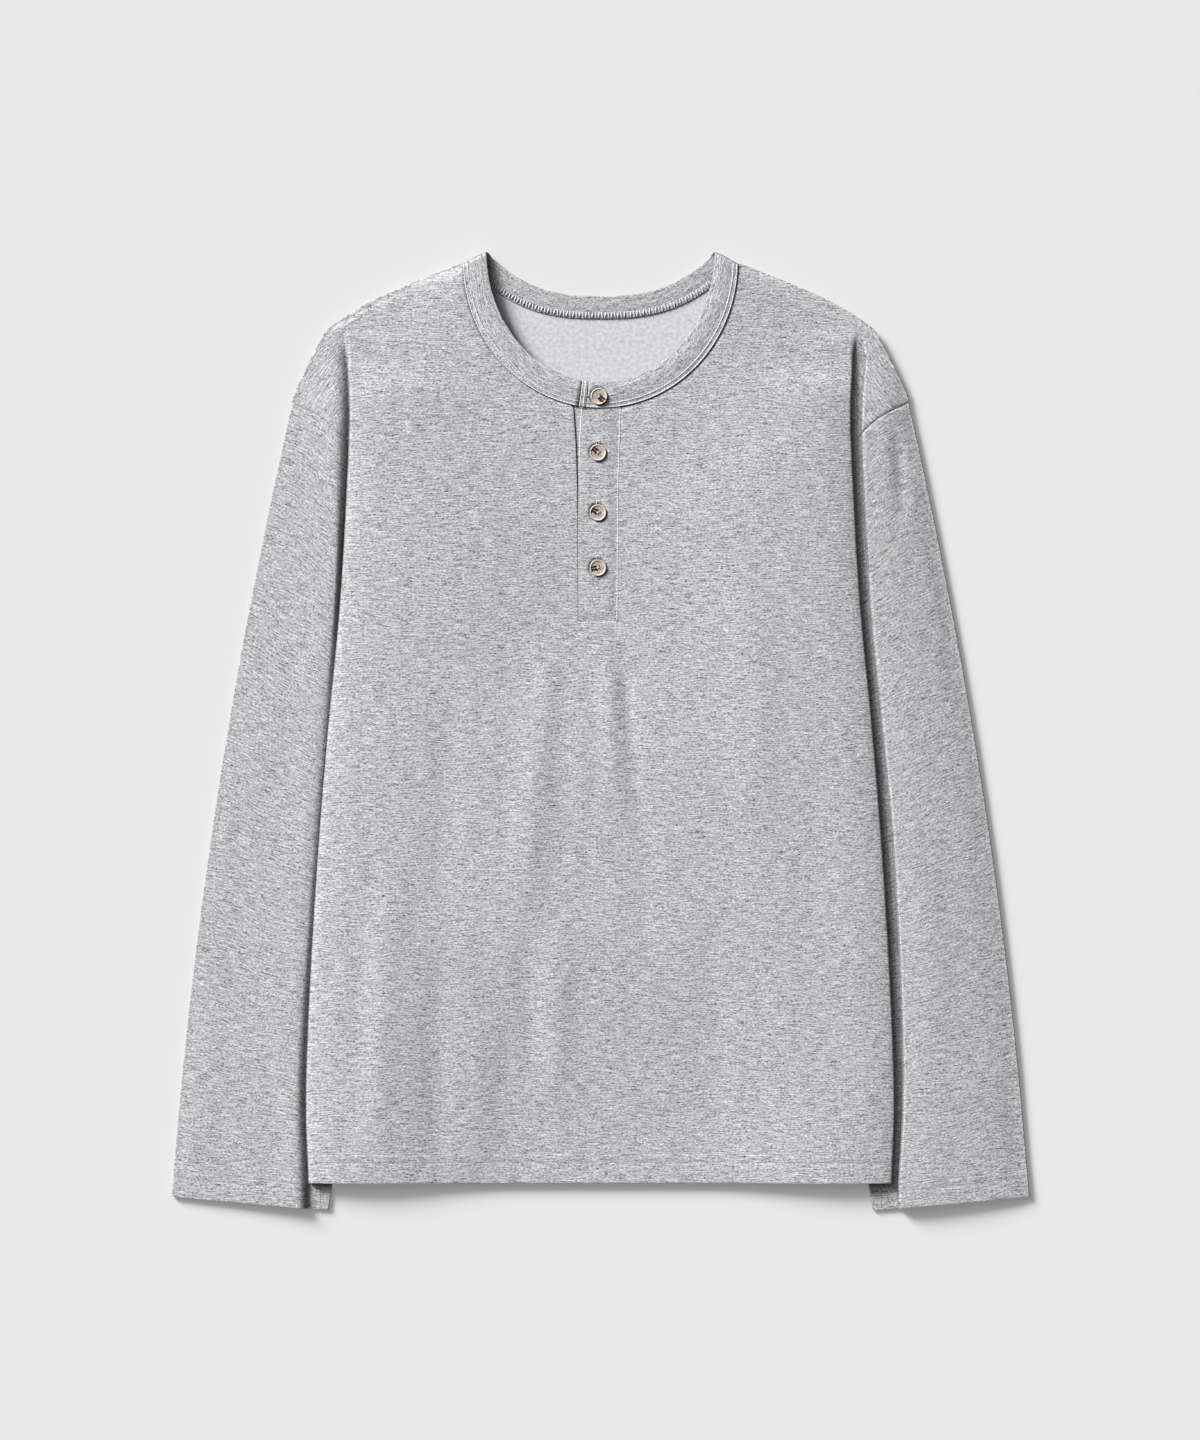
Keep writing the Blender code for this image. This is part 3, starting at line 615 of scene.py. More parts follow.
def low_points(fold, side, edge, sign):
    """(x, z) points of the shoulder from the fold's lower turn out to this edge, closest beside both."""
    start, width = fold.slope(sign)
    stops = [mix(fold.foot_x, start, share) for share in BEFORE_SLOPE]
    stops += [start + width * share for share in ACROSS_SLOPE]
    stops += [mix(min(edge, stops[-1]), edge, share) for share in BEYOND_SLOPE]
    stops = [min(edge, x) for x in stops]
    if side < 0:
        return [(x, FLOOR_LAYER) for x in stops]
    return [(x, fold.low_height(x, sign)) for x in stops]


def full_row(y, inner, side, sign):
    """(x, z) points across the body above the underarm."""
    fold = Fold(min(y, APEX_Y))
    edge = flat_edge(y, side)
    if y <= APEX_Y:
        return upper_points(fold, inner, side) + low_points(fold, side, edge, sign)
    first_inner = front_neck_x(APEX_Y) if side > 0 else 0.0
    first_edge = flat_edge(APEX_Y, side)
    row = upper_points(fold, first_inner, side) + low_points(fold, side, first_edge, sign)
    even = smooth((y - APEX_Y) / EVEN_HEIGHT)
    shares = [(x - first_inner) / (first_edge - first_inner) for x, z in row]
    shares = [mix(share, k / (len(row) - 1), even) for k, share in enumerate(shares)]
    z_inner, z_edge = row[0][1], row[-1][1]
    heights = [mix(z, mix(z_inner, z_edge, share), even) for share, (x, z) in zip(shares, row)]
    return [(mix(inner, edge, share), height) for share, height in zip(shares, heights)]


def shoulder_row(y, inner, side, sign):
    """Points across the body down to the shoulder's tip, the front's with its edge turned under."""
    row = full_row(y, inner, side, sign)
    if side > 0:
        edge, top = row[-1]
        middle = (top + FLOOR_LAYER) / 2
        for out, up in EDGE_ROUND:
            row.append((edge + edge_radius(y) * out, middle + (top - middle) * up))
        row.append((edge - SHOULDER_RETURN, FLOOR_LAYER))
    return row


def side_row(y, inner, side, sign):
    """Points across the body below the underarm, where its folded layers end at the side seam."""
    return upper_points(Fold(y), inner, side)[:-TURN_STEPS]


def front_relief(x, y):
    """What folds, seams and stitching add to the front's upper layer at x, y."""
    total = fold_relief(FRONT_FOLDS, x, y) * smooth((along(BODY_CREASE, y) - abs(x)) / FOLD_FADE)
    seam = abs(math.hypot(x / NECK_HALF, (NECK_POINT_Y - y) / FRONT_NECK_DROP) - 1) * FRONT_NECK_DROP
    return total - SEAM_SINK * bell(seam, SEAM_WIDTH) + needle_relief(y - HEM_Y, NEEDLE_ROWS)


def body_point(column, x, y, z, sign):
    """One point of the front with the reliefs added."""
    if column < UPPER_COLUMNS:
        z += front_relief(sign * x, y)
    if column > CAP_COLUMN and y < CAP_TOP_Y and z > LOFT / 2:
        z -= armhole_sink(x, y)
    return (x, y, z)


def turn_cap_grain(piece, sign, columns):
    """Lays the cut cloth of the shoulder's cap on the slant, as the drawn-down sleeve turns it."""
    layer = piece.data.uv_layers["cloth"].data
    c, s = math.cos(CAP_GRAIN), math.sin(CAP_GRAIN)
    for face in piece.data.polygons:
        column = face.index % (columns - 1)
        if column < CAP_COLUMN or face.center.y > CAP_TOP_Y:
            continue
        for corner in face.loop_indices:
            place = piece.data.vertices[piece.data.loops[corner].vertex_index].co
            x = place.x * sign
            layer[corner].uv = (sign * (c * x - s * place.y), s * x + c * place.y)


def body_sheet(name, side, sign, ys, inner_at, row_at):
    """One grid of the body between two heights."""
    rows = [(y, row_at(y, inner_at(y), side, sign)) for y in ys]
    flat = [[(across, y) for across in runs(row, row[0][0])] for y, row in rows]
    if side > 0:
        points = [[body_point(k, x, y, z, sign) for k, (x, z) in enumerate(row)] for y, row in rows]
    else:
        points = [[(x, y, z) for x, z in row] for y, row in rows]
    piece = grid_piece(name, points, flat, sign)
    if len(points[0]) > CAP_COLUMN + 1:
        turn_cap_grain(piece, sign, len(points[0]))
    return piece


NECK_ROWS, BACK_NECK_ROWS = 34, 30
BACK_NECK_FIRST = 0.99  # the share of the neck's half width where those start
ROW_STEP = 0.0045
TIP_STEP = 0.0011  # down to the shoulder's tip
ARMHOLE_STEP, LOW_ARMHOLE_STEP = 0.0009, 0.0022  # above and below the top of the placket's slot
HEM_ROWS = (25, 24, 23.2, 22.6, 22, 21.4, 20.8, 19, 17.2, 16.6, 16, 15.4, 14.8, 12, 8, 4, 1.5, 0)  # mm
HEM_ROWS_TOP = 0.0262
SLOT_COLUMNS = 9


def heights(top, bottom, step=ROW_STEP):
    """Evenly spaced heights from top down to bottom, about this far apart."""
    return spread(top, bottom, max(2, math.ceil((top - bottom) / step) + 1))


def shoulder_heights():
    """Heights from the neck point down to the shoulder's tip, closer where the neck seam is flat."""
    lowest = math.asin((NECK_POINT_Y - TIP_Y) / FRONT_NECK_DROP)
    first = math.asin((NECK_POINT_Y - FIRST_ROW_Y) / FRONT_NECK_DROP)
    by_angle = [NECK_POINT_Y - FRONT_NECK_DROP * math.sin(a) for a in spread(first, lowest, NECK_ROWS)]
    above = [y for y in by_angle if not TIP_Y <= y < APEX_Y]
    return sorted({*above, *heights(APEX_Y, TIP_Y, TIP_STEP)}, reverse=True)


def armhole_heights():
    slot_top = SLOT_LEFT[0][0]
    return heights(TIP_Y, slot_top, ARMHOLE_STEP) + heights(slot_top, UNDERARM_Y, LOW_ARMHOLE_STEP)[1:]


def side_heights():
    """Heights below the underarm, with one at the bottom of the placket's slot, closer across the hem."""
    upper = heights(UNDERARM_Y, SLOT_BOTTOM_Y)
    lower = heights(SLOT_BOTTOM_Y, HEM_Y + HEM_ROWS_TOP)
    return upper + lower[1:] + [HEM_Y + d * MM for d in HEM_ROWS]


def body_half(name, side, sign, shoulder_ys, inner, low_inner):
    """The three grids of one half of the front or the back, from its neck down to its hem."""
    shoulder = body_sheet(name, side, sign, shoulder_ys, inner, shoulder_row)
    armhole = body_sheet(name, side, sign, armhole_heights(), low_inner, full_row)
    return [shoulder, armhole, body_sheet(name, side, sign, side_heights(), low_inner, side_row)]


def make_front(outside, inside):
    sheets = []
    for sign, slot in ((-1, SLOT_LEFT), (1, SLOT_RIGHT)):
        inner = partial(front_inner_x, slot=slot)
        sheets += body_half("front", 1, sign, shoulder_heights(), inner, inner)
    below = [y for y in side_heights() if y <= SLOT_BOTTOM_Y]
    xs = spread(SLOT_LEFT[-1][1], SLOT_RIGHT[-1][1], SLOT_COLUMNS)
    points = [[(x, y, Fold(y).height(0.0, 1) + front_relief(x, y)) for x in xs] for y in below]
    sheets.append(grid_piece("front", points, [[(x, y) for x in xs] for y in below]))
    front = walled("front_cloth", sheets, 1, "front_panel", outside, inside)


def make_back(outside, inside):
    sheets = []
    neck = {back_neck_y(share) for share in spread(BACK_NECK_FIRST, 0.0, BACK_NECK_ROWS)}
    below = [y for y in shoulder_heights() if y < back_neck_y(0.0) - MM]
    ys = [FIRST_ROW_Y, *sorted((y for y in neck if y < FIRST_ROW_Y - MM / 2), reverse=True), *below]
    for sign in (-1, 1):
        sheets += body_half("back", -1, sign, ys, back_neck_x, lambda y: 0.0)
    back = walled("back_cloth", sheets, -1, "back_panel", outside, inside)


# ---- Sleeves ----

SLEEVE_ROWS = 150
OPEN_COLUMNS = 17  # from the sleeve's outer edge to near the body's edge
BEYOND_OFFSETS = (0.0140, 0.0085, 0.0048, 0.0026, 0.0012)  # outwards from the slope beside the body's edge
UNDER_OFFSETS = (0.0, -0.0006, -0.0015, -0.0030)  # inwards from the body's edge
HIDDEN_COLUMNS = 9  # under the body
SLEEVE_UNDER_COLUMNS = 12
HEAD_OFFSETS = (0.0, 0.0003, 0.0007, 0.0012, 0.0018, 0.0028, 0.0042, 0.0065)  # from the armhole seam
CUFF_ROWS = (24, 23, 22, 21.5, 21, 20.5, 20, 18, 16, 15.5, 15, 14.5, 14, 11, 7, 3, 1)  # mm above its edge
CUFF_ROWS_GAP = 0.004  # the even rows end this share of the sleeve above those
INNER_MARGIN = 0.01  # the columns beside the body end this share short of the sleeve's inner edge
HIDDEN_SHARES = (0.7, 0.35)  # columns on the flat strip beside the body's edge


def sleeve_point(t, u):
    """A place on the sleeve in plan, t from shoulder to cuff and u from its outer to its inner edge."""
    down = t * SLEEVE_LENGTH
    outer = Vector((sleeve_edge_x(down), TIP_Y - down))
    head = Vector((SLEEVE_TOP_INNER_X, armhole_y(SLEEVE_TOP_INNER_X)))
    place = mix(outer, mix(head, Vector((CUFF_INNER_X, CUFF_INNER_Y)), t), u)
    seam_x = mix(TIP_X, head.x, u)
    bow = armhole_y(seam_x) - mix(TIP_Y, head.y, u)
    place.y += bow * (1 - t) ** HEAD_FADE - SLEEVE_SEAM_GAP
    return place


def sleeve_top(place, t, sign):
    """Height of the sleeve's upper wall at a place in plan."""
    fold = Fold(min(place.y, APEX_Y))
    shown = smooth((place.x - fold.valley) / SLEEVE_FADE) * smooth((outer_x(place.y) - place.x) / EDGE_FADE)
    relief = fold_relief(SLEEVE_FOLDS[sign], place.x, place.y) * shown
    drawn = needle_relief((1 - t) * SLEEVE_LENGTH, CUFF_NEEDLE_ROWS)
    relief += drawn * smooth((place.x - fold.crease) / NEEDLE_FADE)
    return fold.low_height(place.x, sign) + relief - armhole_sink(place.x, place.y)


def body_edge_share(t):
    """The share u at which the sleeve's line t passes under the body's edge."""

    def is_beyond(u):
        place = sleeve_point(t, u)
        return place.x > along(BODY_CREASE, place.y)

    return halved(0.0, 1.0, is_beyond, steps=20)[1]


def sleeve_shares_across(t, outer_u, inner_u, width, sign):
    """Shares u across the upper wall, closest together beside the body's edge."""
    edge = body_edge_share(t)
    fold = Fold(min(sleeve_point(t, edge).y, APEX_Y))
    start, rise = fold.slope(sign)
    stops = [start + rise + away for away in BEYOND_OFFSETS]
    stops += [start + rise * share for share in reversed(ACROSS_SLOPE)]
    stops += [mix(fold.crease, start, share) for share in HIDDEN_SHARES]
    stops += [fold.crease + away for away in UNDER_OFFSETS]
    near = [edge - (x - fold.crease) / width for x in stops]
    near = [u for u in near if u < inner_u - INNER_MARGIN] or near[:1]
    near += [near[-1]] * (len(stops) - len(near))
    return spread(outer_u, near[0], OPEN_COLUMNS)[:-1] + near + spread(near[-1], inner_u, HIDDEN_COLUMNS)[1:]


def sleeve_ring(t, sign):
    """(x, y, z) points and flat cloth round the flattened sleeve, starting on top beside its outer edge."""
    width = (sleeve_point(t, 0.0) - sleeve_point(t, 1.0)).length
    outer_u = (LOFT / 2 + CLOTH / 2) / width
    inner_u = 1 - (LAYER / 2 + CLOTH / 2) / width
    top = [sleeve_point(t, u) for u in sleeve_shares_across(t, outer_u, inner_u, width, sign)]
    ring = [(p.x, p.y, sleeve_top(p, t, sign)) for p in top]
    ring += edge_round(t, inner_u, ring[-1][2], 1 / width)
    under = [sleeve_point(t, u) for u in spread(inner_u, outer_u, SLEEVE_UNDER_COLUMNS)]
    ring += [(p.x, p.y, FLOOR_LAYER) for p in under]
    ring += edge_round(t, outer_u, ring[0][2], -1 / width)[::-1]
    ring.append(ring[0])
    down = sleeve_point(t, 0.5).y
    return ring, [(across, down) for across in runs(ring)]


def edge_round(t, u, top, out):
    """Points round a fold of the sleeve, from its top wall down to its lower one."""
    radius = (top - FLOOR_LAYER) / 2
    points = []
    for beyond, up in EDGE_ROUND[:-1]:
        place = sleeve_point(t, u + out * radius * beyond)
        points.append((place.x, place.y, FLOOR_LAYER + radius + radius * up))
    return points


def sleeve_shares():
    """Shares t of the sleeve's rows, closer at the armhole and across the cuff's hem."""
    head = [offset / SLEEVE_LENGTH for offset in HEAD_OFFSETS]
    cuff = [1 - d * MM / SLEEVE_LENGTH for d in CUFF_ROWS]
    return head[:-1] + spread(head[-1], cuff[0] - CUFF_ROWS_GAP, SLEEVE_ROWS) + cuff + [1.0]


def make_sleeve(name, sign, outside, inside):
    points, flat = zip(*[sleeve_ring(t, sign) for t in sleeve_shares()])
    sleeve = walled(f"{name}_cloth", [grid_piece(name, points, flat, sign)], 1, name, outside, inside)


# ---- Neckband ----

BAND_SHARES = (
    (0.0, 0.006, 0.018, 0.035, 0.055, 0.08, 0.11, 0.14, 0.165, 0.19, 0.215, 0.24, 0.28, 0.34)
    + (0.42, 0.52, 0.62, 0.72, 0.81, 0.88, 0.925, 0.955, 0.975, 0.99, 1.0)
)
BAND_NEEDLES = (0.035, 0.19)
FRONT_RULINGS = 80
BACK_RULINGS = 60
END_STOPS = (
    -0.0161, -0.0156, -0.0150, -0.0143, -0.0136, -0.0129, -0.0122, -0.0117, -0.0114, -0.0111, -0.0108,
)
END_STRIP = (-0.0117, -0.0111)  # the folded end of the band stands proud up to here
END_PROUD = 0.0004
END_LIFT, END_LIFT_LENGTH = 0.0010, 0.030  # the upper end lies this much higher over the lower one
CENTRE_RULINGS = 22
BACK_BAND_FIRST = 0.955  # the back half's rulings start at this share of it
# The band's thickness, by shares of its width from the seam
FOLD_FROM, FOLD_SHARE = 0.925, 0.075  # it rounds off at the free edge
SEWN_SHARE = 0.035  # and at the sewn one
DRAWN, DRAWN_AT, DRAWN_WIDTH = 0.20, 0.113, 0.02  # between the rows of stitches
LEAST_FULL = 0.62
SEAM_FULL, SEAM_FULL_SHARE = 0.18, 0.15
FREE_FULL, FREE_FULL_FROM = 0.28, 0.20
FREE_THIN, FREE_THIN_FROM = 0.45, 0.70  # the front's free edge, which lies higher, is thinner
FULL_RUN = 0.3


def band_thickness(share, height):
    """Half the band's thickness: rounded at both edges, drawn in at the stitches and full between."""
    fold = max(0.0, 1 - max(0.0, (share - FOLD_FROM) / FOLD_SHARE) ** 4) ** 0.25
    sewn = math.sqrt(max(0.0, 1 - max(0.0, 1 - share / SEWN_SHARE) ** 2))
    drawn = DRAWN * bell(share - DRAWN_AT, DRAWN_WIDTH)
    full = LEAST_FULL + SEAM_FULL * smooth(share / SEAM_FULL_SHARE)
    full = full + FREE_FULL * smooth((share - FREE_FULL_FROM) / FULL_RUN) - drawn
    full -= FREE_THIN * smooth((share - FREE_THIN_FROM) / FULL_RUN) * smooth((height - BAND_HALF) / LOFT)
    return BAND_HALF * full * fold * sewn


def band_ruling(seam, free, heights_at):
    places = [mix(seam, free, share) for share in BAND_SHARES]
    return [(p.x, p.y, mix(*heights_at, share)) for p, share in zip(places, BAND_SHARES)]


def front_band_place(a, share):
    """A place on the front band in plan: a from 0 at the shoulder, share from its seam to its free edge."""
    c, s = math.cos(a), math.sin(a)
    seam = Vector((BAND_REACH * c, NECK_POINT_Y - (FRONT_NECK_DROP - BAND_GAP) * s))
    free = Vector((BAND_FREE_HALF * c, BAND_FREE_TOP_Y - BAND_FREE_DROP * s))
    return mix(seam, free, share)


def front_ruling(a, dip=0.0):
    """A line across the front band, a from 0 at the shoulder to a right angle at the centre and beyond."""
    top = FLOOR_LAYER + CHEST_LOFT + CHEST_LIFT + BAND_RISE - dip
    droop = BAND_DROOP * smooth(a / DROOP_ANGLE)
    return band_ruling(front_band_place(a, 0.0), front_band_place(a, 1.0), (top, top - droop))


def back_band_place(share, across):
    """A place on the back band in plan: share from 0 at the centre, across from its seam to its free edge."""
    seam = Vector((NECK_HALF * share, back_neck_y(share) + BAND_GAP * math.hypot(1, share)))
    free_y = BAND_CORNER.y - BAND_BACK_DROP + BAND_BACK_DROP * share**BACK_NECK_POWER
    return mix(seam, Vector((BAND_CORNER.x * share, free_y)), across)


def back_ruling(share):
    """A line across the back band, share from 0 at the centre to 1 at the shoulder."""
    ends = back_band_place(share, 0.0), back_band_place(share, 1.0)
    return band_ruling(*ends, (BAND_HALF, BAND_HALF + BACK_RISE))


def turn_rulings(front, back):
    """Lines across the band where it turns over the shoulder, between these two."""
    line = BAND_CORNER - Vector((NECK_HALF, NECK_POINT_Y))
    outwards = Vector((line.y, -line.x)).normalized()
    radius = (front[0][2] - BAND_HALF) / 2
    rulings = []
    for k in range(1, TURN_STEPS):
        a = math.pi * k / TURN_STEPS
        share = (1 - math.cos(a)) / 2
        shift = Vector((outwards.x, outwards.y, 0.0)) * radius * math.sin(a)
        rulings.append([tuple(mix(Vector(f), Vector(b), share) + shift) for f, b in zip(front, back)])
    return rulings


def half_band(end_x, is_under):
    """Rulings of half the neckband, from its end at the placket to the centre back."""
    stops = [end_x] if is_under else list(END_STOPS)
    rulings = []
    for x in stops + spread(stops[-1], BAND_DIP_FROM, CENTRE_RULINGS)[1:]:
        if is_under:
            dip = BAND_DIP * smooth((BAND_DIP_FROM - x) / (BAND_DIP_FROM - BAND_DIP_TO))
        else:
            dip = -END_PROUD * smooth((END_STRIP[1] - x) / (END_STRIP[1] - END_STRIP[0]))
            dip -= END_LIFT * smooth((END_STRIP[1] + END_LIFT_LENGTH - x) / END_LIFT_LENGTH)
        rulings.append(front_ruling(math.acos(x / BAND_REACH), dip))
    first = math.acos(BAND_DIP_FROM / BAND_REACH)
    rulings += [front_ruling(a) for a in spread(first, SHOULDER_ANGLE, FRONT_RULINGS)[1:]]
    back = [back_ruling(share) for share in spread(BACK_BAND_FIRST, 0.0, BACK_RULINGS)]
    return rulings + turn_rulings(rulings[-1], back[0]) + back


def make_neckband(outside):
    under = half_band(UNDER_END_X, True)[:-1]
    middle = half_band(OVER_END_X, False) + [[(-x, y, z) for x, y, z in row] for row in reversed(under)]
    centre = len(BAND_SHARES) // 2
    round_neck = runs([row[centre] for row in middle])
    flat = [[(run, share * BAND_WIDTH) for share in BAND_SHARES] for run in round_neck]
    middle = [[(x, y, z - button_dip(x, y)) for x, y, z in row] for row in middle]
    halves = [[band_thickness(share, row[0][2]) for share in BAND_SHARES] for row in middle]
    band = closed_band("neckband_cloth", middle, halves, flat, outside)
    place_piece(band, "neckband", "neckband")


# ---- Placket ----

STRIP_SHARES = (
    (0.0, 0.012, 0.03, 0.055, 0.09, 0.13)
    + tuple(0.16 + 0.03 * k for k in range(24))
    + (0.88, 0.91, 0.945, 0.97, 0.988, 1.0)
)
STRIP_ROWS = 170  # down to the first of these shares of its length
END_SHARES = (0.97, 0.978, 0.985, 0.990, 0.993, 0.9955, 0.9975, 0.999, 1.0)
STRIP_TOP_Y = 0.244
STRIP_CLEAR = 0.0004  # it stops this short of the neckband's seam
END_ROUND, SIDE_ROUND = 0.005, 0.03  # shares of it that are rounded off
UNDER_PLACKET_INSET = 0.0004


def band_seam_y(x):
    """Height of the neckband's sewn edge near the centre front."""
    return front_ruling(math.acos(x / BAND_REACH))[0][1]


def strip_piece(slot, left, right, z, half, material, sink=0.0):
    """A strip of cloth between two edges given as tables of y and x, its top edge along the neck seam.

    It sinks this far towards its right edge and its bottom.
    """
    bottom = PLACKET_BOTTOM_Y - (TUCK if sink else 0.0)

    def place(down, share):
        x = mix(along(left, STRIP_TOP_Y), along(right, STRIP_TOP_Y), share)
        y = mix(band_seam_y(x) - STRIP_CLEAR, bottom, down)
        x = mix(along(left, y), along(right, y), share)
        sunk = sink * max(smooth(3 * share - 2), smooth((PLACKET_BOTTOM_Y + SINK_LENGTH - y) / SINK_LENGTH))
        return (x, y, z - sunk - button_dip(x, y) + fold_relief(FRONT_FOLDS, x, y))

    def thickness(down, share):
        end = min(1.0, (1 - down) / END_ROUND)
        side = min(share, 1 - share) / SIDE_ROUND
        round_off = math.sqrt(max(0.0, 1 - max(0.0, 1 - side) ** 2)) * math.sqrt(1 - (1 - end) ** 2)
        return half * round_off

    downs = spread(0.0, END_SHARES[0], STRIP_ROWS) + list(END_SHARES[1:])
    points = [[place(down, share) for share in STRIP_SHARES] for down in downs]
    halves = [[thickness(down, share) for share in STRIP_SHARES] for down in downs]
    flat = [[point[:2] for point in row] for row in points]
    return place_piece(closed_band(f"{slot}_cloth", points, halves, flat, material), slot, slot)


def make_plackets(outside):
    right = [(y, x + TUCK) for y, x in SLOT_RIGHT]
    upper = (PLACKET_EDGE, right, OVER_PLACKET_Z, PLACKET_HALF)
    over = strip_piece("placket_over", *upper, outside, PLACKET_SINK)
    left = [(y, x + UNDER_PLACKET_INSET) for y, x in SLOT_LEFT]
    right = [(SLOT_LEFT[0][0], UNDER_PLACKET_RIGHT_X), (PLACKET_BOTTOM_Y, UNDER_PLACKET_RIGHT_X)]
    under = strip_piece("placket_under", left, right, UNDER_PLACKET_Z, CLOTH / 2, outside)
# ---- Buttons ----

BUTTON_SEGMENTS = 64
BUTTON_PROFILE = (  # radius and height, from the middle of its top round to that of its underside
    (0.0, 0.00175), (0.0030, 0.00178), (0.0046, 0.00182), (0.0050, 0.00188), (0.00525, 0.00212),
    (0.00545, 0.00226), (0.00570, 0.00230), (0.00595, 0.00222), (0.00615, 0.00200), (0.00625, 0.00170),
    (0.00622, 0.00135), (0.0060, 0.00090), (0.0054, 0.00040), (0.0044, 0.00010), (0.0, 0.0),
)
HOLE_SIDES = 20
SHARP_ANGLE = math.radians(35)


def button_base(number, place):
    """Where the button's underside rests."""
    low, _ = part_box(f"button_{number}")
    return low.z + CHEST_LIFT - SETTLE[number - 1] + fold_relief(FRONT_FOLDS, place[0], place[1])


def button_holes(place):
    """The four holes' places round the button's middle."""
    turns = [math.pi / 4 + k * math.pi / 2 + math.radians(place[2]) for k in range(4)]
    return [Vector((HOLE_OFFSET * math.cos(a), HOLE_OFFSET * math.sin(a))) for a in turns]


def make_button(number, place, resin):
    """One button turned from its profile, its four holes cut, lying on the cloth."""
    name = f"button_{number}"
    deselect()
    bpy.ops.mesh.primitive_circle_add(vertices=3, radius=MM)
    button = bpy.context.object
    button.name = f"{name}_turned"
    steps = [(k, k + 1) for k in range(len(BUTTON_PROFILE) - 1)]
    button.data = bpy.data.meshes.new(button.name)
    button.data.from_pydata([(r, 0.0, z) for r, z in BUTTON_PROFILE], steps, [])
    turn = {"steps": BUTTON_SEGMENTS, "render_steps": BUTTON_SEGMENTS, "use_merge_vertices": True}
    apply_modifier(button, "SCREW", merge_threshold=MERGE, **turn)
    tidy_mesh()
    depth = 2 * BUTTON_THICKNESS
    for spot in button_holes(place):
        at = (spot.x, spot.y, BUTTON_THICKNESS / 2)
        bpy.ops.mesh.primitive_cylinder_add(vertices=HOLE_SIDES, radius=HOLE_RADIUS, depth=depth, location=at)
        drill = bpy.context.object
        apply_modifier(button, "BOOLEAN", operation="DIFFERENCE", object=drill)
        bpy.data.objects.remove(drill)
    button.location = (place[0], place[1], button_base(number, place))
    bpy.ops.object.transform_apply(location=True, rotation=False, scale=False)
    activate(button)
    bpy.ops.object.shade_smooth_by_angle(angle=SHARP_ANGLE)
    paint(button, resin)
    place_piece(button, name, name)


# ---- Threads ----

STITCH_SIDES, STITCH_RINGS = 6, 4
HEM_STITCH = (0.0015, 0.00060, 0.0003)  # length, width and height
BAND_STITCH = (0.0029, 0.00085, 0.00030)
LOOP_STITCH = (0.0048, 0.00095, 0.0009)
SATIN_STITCH = (0.0013, 0.00032, 0.0004)
# a dark mark of painted shade, laid where a buttonhole's open end lies in shade
SLIT = (0.0018, 0.0009, 0.0003)  # the open end of a buttonhole
BUTTON_THREAD = (2 * HOLE_OFFSET - 0.0009, 0.00050, 0.0008)
STITCH_SUNK, THREAD_SUNK = 0.15, 0.4  # how much of its height lies in the cloth or in the button
THREAD_STEP = 0.0001  # one of a button's two crossing threads lies this much higher
HEM_PITCH = 0.0019
HEM_OVERHANG, HEM_STOPS = 0.026, 60  # the hem's rows run this far beyond the side seam
CUFF_ROW = (0.03, 0.985, 40)  # from and to these shares across the cuff, with this many stops
CUFF_SHOWN_X = 0.2160
CUFF_SEAM_X = 0.2108  # the seam that shows on the cuff below the hem
CUFF_SEAM_YS = (-0.3440, -0.3575)
CUFF_SEAM_PITCH = 0.6 * HEM_PITCH
BAND_PITCH = LOOP_PITCH = 0.0024
BAND_ROW_ENDS = ((-0.0108, 1), (0.0166, -1))  # x at the placket and the side for each row beside the seam
BAND_LAST_ANGLE, BAND_STOPS = 0.02, 120
END_ROW_XS, END_ROW = (-0.0156, -0.0130), (0.0, 0.97, 12)  # across the band's folded end
LOOP_SHARE, LOOP_ROW, LOOP_SLANT = 0.17, (0.0, 0.99, 80), 10
PLACKET_ROW = (0.2415, 0.0832, 60)  # y from and to, with this many stops
LEFT_INSET, RIGHT_INSET = 0.0004, 0.0003
PLACKET_END_ROW, PLACKET_END_DROP = (-0.0162, 0.0128, 12), 0.0016
BUTTONHOLE_HALF, BUTTONHOLE_STOPS = 0.0070, 30
BUTTONHOLE_RISE = 0.0012  # its middle lies this far above the button's
BUTTONHOLE_SIDE = 0.0009
SATIN_PITCH = SATIN_STITCH[1] * 1.3
SLIT_INSET = 0.0008
BAR_GAP, BAR_ROW = 0.0004, (-0.0013, 0.0013, 7)  # the bars across a buttonhole's ends
RAY_TOP = 0.05
LEAST_FACING = 0.2  # no stitch is laid where the cloth is steeper than this
UP = Vector((0.0, 0.0, 1.0))


def surface_under(*names):
    """A function that gives the highest point of these cloths at x, y, and the way that it faces."""
    points, faces = [], []
    for name in names:
        cloth = bpy.data.objects[f"{name}_cloth"].data
        start = len(points)
        points += [v.co.copy() for v in cloth.vertices]
        faces += [[start + k for k in face.vertices] for face in cloth.polygons]
    tree = BVHTree.FromPolygons(points, faces)
    return lambda x, y: tree.ray_cast(Vector((x, y, RAY_TOP)), -UP)[:2]


def marks_along(pitch, *lines):
    """Evenly spaced (place, direction) pairs along lines of places in plan."""
    marks = []
    for places in lines:
        left = pitch / 2
        for before, after in zip(places, places[1:]):
            run = (after - before).length
            while left < run:
                marks.append((before.lerp(after, left / run), (after - before) / run))
                left += pitch
            left -= run
    return marks


def turned(direction, degrees):
    a = math.radians(degrees)
    c, s = math.cos(a), math.sin(a)
    return Vector((c * direction.x - s * direction.y, s * direction.x + c * direction.y))


def mirrored(places, sign):
    return [Vector((sign * p.x, p.y)) for p in places]


